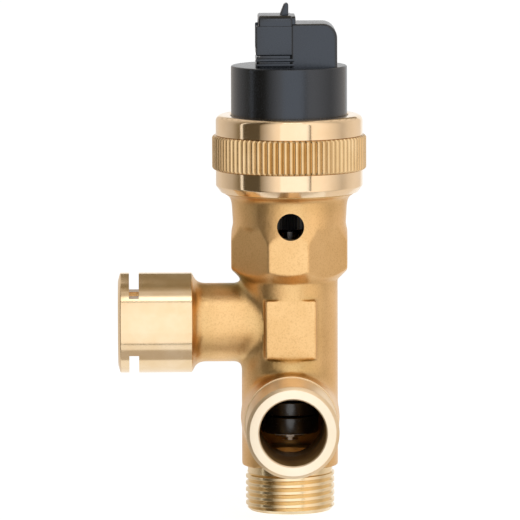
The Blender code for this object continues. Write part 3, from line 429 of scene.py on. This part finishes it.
def moulded(name, dark, light, rough, grain_scale=1500, strength=0.25, gloss=0.5,
            tint=(1, 1, 1)):
    """Moulded plastic or rubber with a fine skin texture."""
    m = Nodes(name)
    at = m.coordinates()
    grain = m.noise(at, grain_scale, 3, 0.6)
    broad = m.noise(at, 110, 3)
    colour = m.ramp(broad, [(0.3, dark), (0.7, light)])
    return m.set(Base_Color=colour, Roughness=m.span(grain, rough - 0.06, rough + 0.08),
                 Specular_IOR_Level=gloss, Specular_Tint=(*tint, 1),
                 Normal=m.bump(grain, strength, 0.0001))


def metal(name, dark, light, rough):
    """Drawn or pressed metal with faint lines across its height."""
    m = Nodes(name)
    patch = m.noise(m.coordinates((1, 1, 12)), 160, 3)
    fine = m.noise(m.coordinates((40, 40, 2000)), 1.0, 2)
    colour = m.ramp(patch, [(0.3, dark), (0.7, light)])
    return m.set(Base_Color=colour, Metallic=1.0,
                 Roughness=m.span(patch, rough - 0.05, rough + 0.07),
                 Normal=m.bump(fine, 0.08, 0.00005))


def flats():
    """The spanner flats low on the neck: eight sides, every second one deeper, rounded above."""
    lean = math.atan(DIAGONAL_FLAT / NECK_R * math.sqrt(2) - 1)
    corner = NECK_R / math.cos(lean)
    turns = [math.radians(side + FLAT_TWIST) + way * lean
             for side in (0, 90, 180, 270) for way in (-1, 1)]
    verts = [(corner * math.cos(turn), corner * math.sin(turn), z)
             for z in (SHOULDER_Z - 1, FLATS_TOP_Z + 1) for turn in turns]
    turned = lathe("turned_corners", [
        (0.0, FLATS_TOP_Z), (FLATS_TOP_R, FLATS_TOP_Z), (NECK_R, FLATS_ROUND_Z),
        (corner, FLATS_FULL_Z), (corner, NECK_Z + corner - NECK_R), (BODY_R, SHOULDER_Z),
        (0.0, SHOULDER_Z)], ROUND)
    return combine(piece_from("flats", verts, prism_faces(len(turns))), "INTERSECT", turned)


def casting():
    """The cast body: upright barrel, branches and plaque, softened, then bored out."""
    barrel = lathe("valve_casting", [
        (0.0, RIM_Z), (COLLAR_R, RIM_Z), (COLLAR_R, COLLAR_Z), (18.4, COLLAR_Z - 0.7),
        (17.7, FLARE_Z + 0.2), (17.3, FLARE_Z - 0.8), *WAIST, (FLATS_CORE_R, 82.0),
        (FLATS_CORE_R, NECK_Z - 1.5), (BODY_R, SHOULDER_Z), (BODY_R, CASTING_LOW),
        (0.0, CASTING_LOW)], ROUND)
    end = LEFT_REACH - LEFT_PORT
    left = lathe("left_neck", [
        (0.0, end + 0.6), (LEFT_R - 0.1, end + 0.6), (LEFT_R - 0.1, end), (LEFT_R - 0.9, end - 0.3),
        (LEFT_R - 1.9, end - 0.85), (LEFT_R - 2.7, end - 1.7), (LEFT_NECK_R + 0.1, end - 2.7),
        (LEFT_NECK_R, end - 3.8), (LEFT_NECK_R, 3.0), (0.0, 3.0)], ROUND, AXIS_LEFT)
    end = FRONT_REACH - FRONT_PORT
    front = lathe("front_boss", [
        (0.0, end), (FRONT_R + 0.35, end), (14.45, 10.0), (14.85, 4.0), (FRONT_BOSS_R, 1.0),
        (0.0, 1.0)], ROUND, AXIS_FRONT)
    half = PLAQUE_WIDE / 2
    plaque = prism("plaque", rectangle(-half, half, PLAQUE_Z0, PLAQUE_Z1),
                   -BODY_R - PLAQUE_PROUD, -PLAQUE_ROOT, "Y", 0.25)
    body = combine(barrel, "UNION", flats(), left, front, plaque)
    softened(body, 0.40, 5)
    eased(body, 150)
    bore = lathe("upright", [
        (0.0, RIM_Z + 2), (NECK_BORE, RIM_Z + 2), (NECK_BORE, NECK_FLOOR_Z),
        (CARTRIDGE_BORE, NECK_FLOOR_Z), (CARTRIDGE_BORE, LEDGE_Z), (CHAMBER_R, LEDGE_Z),
        (CHAMBER_R, SEAT_Z), (SEAT_R + 0.8, SEAT_Z), (SEAT_R, SEAT_Z - 0.8),
        (SEAT_R, SEAT_Z - SEAT_WEB), (BOTTOM_BORE, SEAT_Z - SEAT_WEB), (BOTTOM_BORE, -2),
        (0.0, -2)], BORE_ROUND)
    left_bore = rod("left_bore", LEFT_NECK_BORE, 3.3, 40, AXIS_LEFT)
    front_bore = rod("front_bore", FRONT_BORE, 3.3, 50, AXIS_FRONT)
    weep = rod("weep", WEEP_R, 8, 30, AXIS_WEEP, WEEP_ROUND)
    return shaded(combine(body, "DIFFERENCE", bore, left_bore, front_bore, weep))


def left_port():
    """The turned left port with eased edges and clip slots."""
    start = LEFT_REACH - LEFT_PORT
    end = LEFT_REACH
    port = lathe("left_clip_port", [
        (LEFT_BORE + 0.5, end), *arc(LEFT_R - 2.25, end - 0.15, 0.15, 90, 70, 2),
        *arc(LEFT_R - 0.4, end - 0.95, 0.4, 65, 0, 5),
        *arc(LEFT_R - 0.25, start + 0.25, 0.25, 0, -65, 4),
        (LEFT_R - 1.2, start), (LEFT_R - 1.2, start + 0.5), (LEFT_BORE, start + 0.5),
        (LEFT_BORE, end - 0.5)], PORT_ROUND, AXIS_LEFT)
    past = LEFT_R + 2.1
    slots = []
    for side in (1, -1):
        low, high = sorted((LEFT_Z + side * SLOT_FLOOR, LEFT_Z + side * past))
        slots.append(prism("slot", rectangle(SLOT_X0, SLOT_X1, low, high), -past, past, "Y"))
    return shaded(combine(port, "DIFFERENCE", *slots))


def front_port():
    """The turned front port: bored tube with a face chamfer and a narrow step against the boss."""
    start = FRONT_REACH - FRONT_PORT
    end = FRONT_REACH
    return shaded(lathe("front_port", [
        (FRONT_BORE + 0.35, end), *arc(FRONT_R - 1.0, end - 0.1, 0.1, 90, 45, 2),
        *arc(FRONT_R - 0.3, end - 1.0, 0.3, 45, 0, 4), (FRONT_R, start + 0.25),
        (FRONT_R + 0.15, start + 0.08), *arc(FRONT_R + 0.32, start - 0.02, 0.1, 90, 0, 3),
        (FRONT_R + 0.42, start - 0.4), (FRONT_BORE, start - 0.4), (FRONT_BORE, end - 0.35)],
        PORT_ROUND, AXIS_FRONT))


def thread():
    """The bottom port: a helical thread with a relief, chamfered end and bore."""
    segments = 144
    rows = 220
    high = THREAD_TOP + 0.3
    crest, slope = 0.40, 0.54
    chamfer, chamfer_rise = 1.1, 0.9
    angles = [2 * math.pi * step / segments for step in range(segments)]
    verts = []
    for row in range(rows + 1):
        height = high * row / rows
        for angle in angles:
            flank = abs(2 * ((height / THREAD_PITCH - angle / (2 * math.pi)) % 1.0) - 1)
            radius = THREAD_R - THREAD_DEPTH * min(1.0, max(0.0, (flank - crest) / slope))
            radius = min(radius, THREAD_R - chamfer + height * chamfer_rise)
            if height > RELIEF_Z:
                radius = RELIEF_R
            verts.append((radius * math.cos(angle), radius * math.sin(angle), height))
    for radius, height in ((BOTTOM_BORE, high), (BOTTOM_BORE, 0.4), (BOTTOM_BORE + 0.4, 0.0)):
        verts += [(radius * math.cos(angle), radius * math.sin(angle), height) for angle in angles]
    return shaded(piece_from("bottom_thread", verts, ring_faces(rows + 4, segments)), 50)


def nut():
    """The union nut: turned bands and a straight knurl of rounded ridges."""
    per_ridge = 10
    groove = 0.60
    grooved = (0.0, 0.02, 0.10, 0.38, 0.80, 1.0)
    segments = KNURL_COUNT * per_ridge
    root = NUT_R - 0.15
    rows = [(NUT_BORE - 2.4, NUT_TOP - 0.3, 0), (NUT_BORE - 2.1, NUT_TOP, 0)]
    rows += [(r, z, 0) for r, z in arc(NUT_R - 1.8, NUT_TOP - 1.8, 1.8, 90, 0, 10)]
    rows += [(NUT_R, KNURL_Z1 + 0.15, 0), (root, KNURL_Z1, 0)]
    for share, drop in ((0.55, 0.05), (0.85, 0.35), (1.0, 0.7)):
        rows.append((root, KNURL_Z1 - drop, share))
    for share, rise in ((1.0, 0.7), (0.85, 0.35), (0.55, 0.05)):
        rows.append((root, KNURL_Z0 + rise, share))
    rows += [(root, KNURL_Z0, 0), (NUT_R, KNURL_Z0 - 0.15, 0)]
    rows += [(r, z, 0) for r, z in arc(NUT_R - 0.8, NUT_Z + 2.2, 0.8, 0, -45, 5)]
    rows += [(r, z, 0) for r, z in arc(20.3, NUT_Z + 0.3, 0.3, -45, -90, 3)]
    rows += [(NUT_BORE, NUT_Z, 0), (NUT_BORE, NUT_LIP_Z, 0), (NUT_BORE - 2.4, NUT_LIP_Z, 0)]
    verts = []
    for radius, height, share in rows:
        for step in range(segments):
            angle = 2 * math.pi * step / segments
            beside = step % per_ridge
            crest = KNURL_R - groove * grooved[min(beside, per_ridge - beside)]
            reach = radius + share * (crest - root)
            verts.append((reach * math.cos(angle), reach * math.sin(angle), height))
    return shaded(piece_from("union_nut_turned", verts, ring_faces(len(rows), segments)), 40)


def housing():
    """The moulded head: flanged cup, block, plug socket on a stepped foot, fin and latch nub."""
    top = HEAD_TOP
    block_top = top + 12.7
    socket_top = top + 15.1
    flange, hollow, boss, boss_bore = 19.4, 15.6, 8.0, 6.5
    cup = lathe("actuator_head", [
        (0.0, top), (HEAD_R - 0.6, top), *arc(HEAD_R - 0.5, top - 0.5, 0.5, 80, 0, 5),
        (HEAD_R, HEAD_Z + 3.3), (flange, HEAD_Z + 3.3), (flange, HEAD_Z), (hollow, HEAD_Z),
        (hollow, top - 2), (boss, top - 2), (boss, top - 3.5), (boss_bore, top - 3.5),
        (boss_bore, top - 1.2), (0.0, top - 1.2)], ROUND)
    block = prism("block", [
        (0.2, top - 1), (14.1, top - 1), *arc(10.0, block_top - 4.1, 4.1, 0, 90, 8),
        (0.2, block_top)], -8.5, 8.5, "Y", 1.0, 4)
    socket = prism("socket", rectangle(-9.9, 0.9, top + 3.4, top + 12.2), -8.5, 8.5, "Y", 0.4, 3)
    cap = prism("cap", [
        (-8.3, top + 11.6), (8.3, top + 11.6), *arc(6.1, socket_top - 2.2, 2.2, 0, 90, 6),
        *arc(-6.1, socket_top - 2.2, 2.2, 90, 180, 6)], -9.15, 0.9, "X", 0.6, 3)
    foot = prism("foot", rectangle(-8.7, 0.9, top - 1, top + 4.4), -7.3, 7.3, "Y", 0.2, 2)
    rib_low = prism("rib_low", rectangle(-9.9, 1.4, top + 0.2, top + 1.0), -8.6, 8.6, "Y", 0.15, 2)
    rib_high = prism("rib_high", rectangle(-9.9, 1.4, top + 1.6, top + 2.5), -8.6, 8.6, "Y", 0.2, 2)
    fin = prism("fin", [
        (-7.6, top + 12.0), (7.6, top + 12.0), *arc(6.1, top + 13.4, 1.5, 0, 90, 5),
        *arc(-6.1, top + 13.4, 1.5, 90, 180, 5)], 0.4, 1.85, "X", 0.3, 2)
    nub = prism("nub", [
        (-3.0, top + 14.4), (-0.15, top + 14.4), (-0.15, top + 17.7),
        *arc(-0.75, top + 17.9, 0.6, 0, 100, 5), (-1.5, top + 18.2)], -2.0, 2.0, "Y", 0.3, 2)
    head = combine(cup, "UNION", block, foot, rib_low, rib_high, socket, cap, fin, nub)
    cavity = prism("cavity", rectangle(-11, -1.2, top + 5.3, top + 13.2), -6.6, 6.6, "Y", 0.4, 2)
    pin = rectangle(-2.2, 0.3, top + 8.6, top + 9.9)
    holes = [prism("pin_hole", pin, y - 0.65, y + 0.65, "Y") for y in (-3.75, -1.25, 1.25, 3.75)]
    return shaded(combine(head, "DIFFERENCE", cavity, *holes), 30)


def plug_disc(name, low, high, edge):
    """One disc of the plug, rounded at both rims."""
    return shaded(lathe(name, [
        (PLUG_BORE, high), *arc(PLUG_R - edge, high - edge, edge, 90, 0, 5),
        *arc(PLUG_R - edge, low + edge, edge, 0, -90, 5), (PLUG_BORE, low)], BORE_ROUND))


def spring():
    """The return spring: one smooth helix of round wire."""
    per_turn = 48
    ring = 12
    total = SPRING_TURNS * per_turn
    verts = []
    for step in range(total + 1):
        angle = 2 * math.pi * step / per_turn
        height = SPRING_LOW + SPRING_WIRE + (SPRING_LENGTH - 2 * SPRING_WIRE) * step / total
        for side in range(ring):
            turn = 2 * math.pi * side / ring
            radius = SPRING_MEAN + SPRING_WIRE * math.cos(turn)
            lift = SPRING_WIRE * math.sin(turn)
            verts.append((radius * math.cos(angle), radius * math.sin(angle), height + lift))
    faces = ring_faces(total + 1, ring)[:-ring]
    faces += [tuple(range(ring)), tuple(range(total * ring, total * ring + ring))]
    return shaded(piece_from("return_spring_wire", verts, faces), 50)


def dress():
    """Make every piece and give each remaining solid its own finish."""
    body = ["valve_body"]
    waterway_shade = painted_shade_brass("painted_shade_brass", 0.85, 0.26)
    skin = cast_brass()
    # Painted shade: the waterway's walls take the darker brass
    lined(finish(casting(), "valve", skin, body), waterway_shade, in_waterway)
    bright = turned_brass("turned_brass_x", "X", rough=0.18)
    # Painted shade: the clip slots' floors take the darker brass too
    lined(finish(left_port(), "valve", bright, body), waterway_shade, in_slot)
    satin = turned_brass("turned_brass_y", "Y", (0.84, 0.64, 0.40), (0.92, 0.74, 0.51), 0.34)
    # Painted shade for the front bore, on a less metallic brass
    front_bore_shade = painted_shade_brass("painted_shade_satin_brass", 0.30, 0.45)
    tube = lined(finish(front_port(), "valve", satin, body), front_bore_shade, in_waterway)
    # A paler copy of the turned brass on the end facing the front lamp: painted light
    face_painted_light = turned_brass("painted_light_face_brass_y", "Y", (0.94, 0.80, 0.60), (0.97, 0.87, 0.70), 0.34)
    lined(tube, face_painted_light, on_front_face)
    # The last colour is the painted shade in the thread's grooves
    threaded = cut_brass("cut_brass_thread", 2, (0.93, 0.75, 0.48), (0.97, 0.81, 0.55),
                         (0.80, 0.72, 0.56))
    finish(thread(), "valve", threaded, body)
    bands = turned_brass("turned_brass_z", "Z", (0.89, 0.68, 0.44), (0.95, 0.75, 0.52), 0.14)
    ring = finish(nut(), "nut", bands, ["union_nut"])
    # The last colour is the painted shade in the knurl's grooves
    knurled = cut_brass("knurled_brass", 2, (0.75, 0.52, 0.265), (0.83, 0.60, 0.335),
                        (0.40, 0.38, 0.28))
    lined(ring, knurled, on_knurl)
    black = moulded("black_moulding", (0.0030, 0.0034, 0.0042), (0.0055, 0.0060, 0.0072), 0.24,
                    1500, 0.10, 1.0, (0.76, 0.85, 1.0))
    finish(housing(), "valve", black, ["actuator_housing"])
    rubber = moulded("black_rubber", (0.010, 0.010, 0.010), (0.018, 0.018, 0.018), 0.55,
                     2200, 0.35)
    grey = moulded("grey_moulding", (0.06, 0.06, 0.06), (0.09, 0.09, 0.088), 0.4)
    wet_rubber = moulded("wet_rubber", (0.014, 0.011, 0.009), (0.024, 0.019, 0.016), 0.24,
                         2200, 0.10, 1.0)
    # A glossier grey moulding made darker and browner: painted shade for the plug core deep in the
    # bore
    grey_painted_shade = moulded("glossy_grey_painted_shade", (0.022, 0.018, 0.016), (0.034, 0.029, 0.026), 0.24,
                       1800, 0.10, 1.0)
    middle = (PLUG_LOW + PLUG_TOP) / 2
    core_low = middle - PLUG_CORE / 2
    core_high = middle + PLUG_CORE / 2
    lower = plug_disc("plug_rubber_lower", PLUG_LOW, core_low - 0.3, 0.6)
    finish(lower, "stem", wet_rubber, ["plug_seal_lower"])
    core = plug_disc("plug_middle", core_low, core_high, 0.3)
    finish(core, "stem", grey_painted_shade, ["plug_core"])
    upper = plug_disc("plug_rubber_upper", core_high + 0.3, PLUG_TOP, 0.6)
    finish(upper, "stem", wet_rubber, ["plug_seal_upper"])
    steel = metal("stainless_steel", (0.52, 0.52, 0.53), (0.66, 0.66, 0.67), 0.26)
    coil = finish(spring(), "valve", steel, ["return_spring"])
    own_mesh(coil)
    finishes = {
        "black_plastic": moulded("black_inner_moulding", (0.014, 0.015, 0.018),
                                 (0.030, 0.031, 0.035), 0.36),
        "grey_plastic": grey,
        "rubber": rubber,
        "stainless": steel,
        "motor_steel": metal("motor_steel_plate", (0.34, 0.34, 0.35), (0.47, 0.47, 0.48), 0.36),
        "copper_winding": metal("copper_wire", (0.60, 0.24, 0.10), (0.76, 0.36, 0.17), 0.34),
        "magnet": moulded("sintered_magnet", (0.03, 0.03, 0.032), (0.06, 0.06, 0.063), 0.5,
                          2600, 0.4),
        "contact_metal": metal("contact_plating", (0.70, 0.56, 0.32), (0.82, 0.68, 0.42), 0.24),
    }
    slots = {entry["node"]: entry["material_slot"] for entry in frame["record"]["subparts"]}
    for name, node in frame["nodes"].items():
        if slots[name] in finishes:
            node.data.materials.clear()
            node.data.materials.append(finishes[slots[name]])


def floor():
    """A pale floor that keeps a soft shadow and reads as white."""
    half = 5e3
    corners = [(x, y, 0) for x, y in rectangle(-half, half, -half, half)]
    plane = piece_from("floor", corners, [(0, 1, 2, 3)])
    plane.location.z = -0.0004
    plane.visible_glossy = False
    material = bpy.data.materials.new("pale_floor")
    material.use_nodes = True
    tree = material.node_tree
    tree.nodes.clear()
    seen = tree.nodes.new("ShaderNodeLightPath")
    glow = tree.nodes.new("ShaderNodeEmission")
    glow.inputs["Strength"].default_value = 0.80
    matt = tree.nodes.new("ShaderNodeBsdfDiffuse")
    matt.inputs["Color"].default_value = (0.72, 0.72, 0.71, 1)
    total = tree.nodes.new("ShaderNodeAddShader")
    mix = tree.nodes.new("ShaderNodeMixShader")
    out = tree.nodes.new("ShaderNodeOutputMaterial")
    tree.links.new(matt.outputs[0], total.inputs[0])
    tree.links.new(glow.outputs[0], total.inputs[1])
    tree.links.new(seen.outputs["Is Camera Ray"], mix.inputs["Fac"])
    tree.links.new(matt.outputs[0], mix.inputs[1])
    tree.links.new(total.outputs[0], mix.inputs[2])
    tree.links.new(mix.outputs[0], out.inputs["Surface"])
    plane.data.materials.append(material)


# Cards that only reflections see: name, turn from and to, rise from and to in degrees, brightness
CARDS = [
    ("left_card", -78.5, -47.5, -59, 70, 0.10), ("left_strip", -89, -83.5, -59, 70, 0.22),
    ("right_strip", 30.6, 33.2, -59, 70, 0.14),
    ("top_card", -180, 180, 83, 90, 0.36), ("high_card", -90, 100, 70, 83, 0.66),
    ("low_card", -90, 90, -90, -59, 0.54), ("back_card", 100, 260, 20, 83, 0.28)]
# Cards lying across the view, seams and the panels within them: name, tilt from and to, reach left
# and right in degrees, brightness
LYING = [
    ("upper_seam", 54.0, 56.6, -46, 31, 0.10), ("lower_seam", -45.6, -43.2, -46, 31, 0.10),
    ("upper_panel", 26.5, 54.0, -14.5, 30.5, 1.22),
    ("lower_panel", -43.2, -18.5, -14.5, 30.5, 1.18)]
# Upright cards that change sideways: name, then turn in degrees and brightness at each stop
GRADED = [
    ("left_side", [(-170, 0.75), (-138, 0.75), (-117, 0.60), (-101, 0.47), (-89, 0.26)]),
    ("left_fade", [(-47.5, 0.27), (-42, 0.41), (-32, 0.71), (-23, 0.99), (-15, 1.12)]),
    ("right_side", [(33.2, 1.16), (46, 1.14), (56, 1.07), (66, 0.95), (77, 0.80), (89, 0.60),
                    (96, 0.66), (105, 0.78), (121, 0.86), (150, 0.86)])]
GRADED_RISE = (-59, 70)
# The cards' sphere round the valve's middle: radius in millimetres, and degrees to a face
CARD_AWAY, CARD_STEP = 2600, 4
# Tints of dim cards, of brighter ones and of the panels, with the brightness at which each begins
DIM_TINT, WARM_TINT, PANEL_TINT = (1.0, 0.82, 0.55), (1.0, 0.91, 0.82), (1.0, 0.98, 0.96)
WARM_FROM, PANEL_FROM = 0.4, 1


def sphere_patch(name, turns, rises, lying=False):
    """A patch of the cards' sphere; a lying one has its turns up and down instead of sideways."""
    verts = []
    for height in map(math.radians, rises):
        for angle in map(math.radians, turns):
            aside, upward = math.sin(angle) * math.cos(height), math.sin(height)
            if lying:
                aside, upward = upward, aside
            ahead = math.cos(angle) * math.cos(height)
            verts.append((CARD_AWAY * aside, -CARD_AWAY * ahead, MIDDLE_Z + CARD_AWAY * upward))
    wide = len(turns)
    corners = [row * wide + step for row in range(len(rises) - 1) for step in range(wide - 1)]
    faces = [(corner, corner + 1, corner + wide + 1, corner + wide) for corner in corners]
    return piece_from(name, verts, faces)


def card(name, turn, rise, level, lying=False):
    """An evenly lit card, with turn and rise from and to in degrees."""
    turns, rises = [spread(low, high, max(2, round((high - low) / CARD_STEP)))
                    for low, high in (turn, rise)]
    tint = DIM_TINT if level < WARM_FROM else WARM_TINT if level < PANEL_FROM else PANEL_TINT
    glowing(sphere_patch(name, turns, rises, lying), level, tint)


def graded(name, stops):
    """An upright card whose brightness changes smoothly from stop to stop."""
    turns, levels = [], []
    for (turn, level), (next_turn, next_level) in zip(stops, stops[1:]):
        count = max(1, round((next_turn - turn) / CARD_STEP))
        turns += spread(turn, next_turn, count)[:-1]
        levels += spread(level, next_level, count)[:-1]
    turns.append(stops[-1][0])
    levels.append(stops[-1][1])
    rises = spread(*GRADED_RISE, 16)
    obj = sphere_patch(name, turns, rises)
    lit = obj.data.attributes.new("level", "FLOAT", "POINT")
    lit.data.foreach_set("value", levels * len(rises))
    tree, glow = glowing(obj, 1.0, WARM_TINT)
    level = tree.nodes.new("ShaderNodeAttribute")
    level.attribute_name = "level"
    tint = tree.nodes.new("ShaderNodeValToRGB")
    fill_ramp(tint, [(0.15, DIM_TINT), (0.5, WARM_TINT)])
    tree.links.new(level.outputs["Fac"], tint.inputs["Fac"])
    tree.links.new(level.outputs["Fac"], glow.inputs["Strength"])
    tree.links.new(tint.outputs["Color"], glow.inputs["Color"])


def glowing(obj, level, tint):
    """Let a lit card show in reflections only."""
    obj.visible_camera = obj.visible_diffuse = obj.visible_shadow = False
    material = bpy.data.materials.new(obj.name)
    material.use_nodes = True
    material.cycles.emission_sampling = "NONE"
    tree = material.node_tree
    tree.nodes.clear()
    glow = tree.nodes.new("ShaderNodeEmission")
    glow.inputs["Color"].default_value = (*tint, 1)
    glow.inputs["Strength"].default_value = level
    out = tree.nodes.new("ShaderNodeOutputMaterial")
    tree.links.new(glow.outputs[0], out.inputs["Surface"])
    obj.data.materials.append(material)
    return tree, glow


def studio():
    """White to the camera and to reflections, even and dim for the rest, with cards all round."""
    world = bpy.data.worlds.new("studio")
    world.use_nodes = True
    world.cycles.sampling_method = "NONE"
    bpy.context.scene.world = world
    tree = world.node_tree
    tree.nodes.clear()
    even = tree.nodes.new("ShaderNodeBackground")
    even.inputs["Color"].default_value = (0.62, 0.62, 0.63, 1)
    even.inputs["Strength"].default_value = 0.5
    white = tree.nodes.new("ShaderNodeBackground")
    white.inputs["Color"].default_value = (1, 1, 1, 1)
    seen = tree.nodes.new("ShaderNodeLightPath")
    mix = tree.nodes.new("ShaderNodeMixShader")
    out = tree.nodes.new("ShaderNodeOutputWorld")
    share = seen.outputs["Is Camera Ray"]
    for kind in ("Is Glossy Ray", "Is Transmission Ray"):
        either = tree.nodes.new("ShaderNodeMath")
        either.operation = "MAXIMUM"
        tree.links.new(share, either.inputs[0])
        tree.links.new(seen.outputs[kind], either.inputs[1])
        share = either.outputs[0]
    tree.links.new(share, mix.inputs["Fac"])
    tree.links.new(even.outputs[0], mix.inputs[1])
    tree.links.new(white.outputs[0], mix.inputs[2])
    tree.links.new(mix.outputs[0], out.inputs["Surface"])
    for name, left, right, low, high, level in CARDS:
        card(name, (left, right), (low, high), level)
    for name, stops in GRADED:
        graded(name, stops)
    for name, low, high, left, right, level in LYING:
        card(name, (low, high), (left, right), level, True)


def softbox(name, place, size, power):
    """A rectangular lamp that faces the valve, unseen by the camera."""
    lamp = bpy.data.lights.new(name, "AREA")
    lamp.shape = "RECTANGLE"
    lamp.size, lamp.size_y = size
    lamp.energy = power
    obj = bpy.data.objects.new(name, lamp)
    bpy.context.scene.collection.objects.link(obj)
    obj.visible_camera = False
    obj.location = place
    towards = Vector((0, 0, MIDDLE_Z * MM)) - Vector(place)
    obj.rotation_euler = towards.to_track_quat("-Z", "Y").to_euler()


def lights():
    """A broad panel in front and a strip high above it."""
    softbox("front_panel", (-0.45, -3.2, 0.3), (4.6, 2.8), 9)
    softbox("key_box", (0.12, -1.36, 2.63), (3.0, 0.55), 5.5)


def camera():
    """A long lens a little above the valve, turned slightly to its left."""
    lens = bpy.data.cameras.new("camera")
    obj = bpy.data.objects.new("camera", lens)
    bpy.context.scene.collection.objects.link(obj)
    lens.sensor_width = 36
    lens.lens = 415.4
    lens.clip_end = 20
    aim, distance = Vector((-0.00876, 0.0, 0.0746)), 1.782
    azimuth, elevation, roll = math.radians(-1.0), math.radians(6.5), math.radians(-0.2)
    away = Vector((math.sin(azimuth) * math.cos(elevation),
                   -math.cos(azimuth) * math.cos(elevation), math.sin(elevation)))
    obj.location = aim + away * distance
    turn = (-away).to_track_quat("-Z", "Y").to_matrix() @ Matrix.Rotation(roll, 3, "Z")
    obj.rotation_euler = turn.to_euler()
    bpy.context.scene.camera = obj


dress()
floor()
studio()
lights()
camera()
bpy.context.scene.view_settings.view_transform = "Standard"
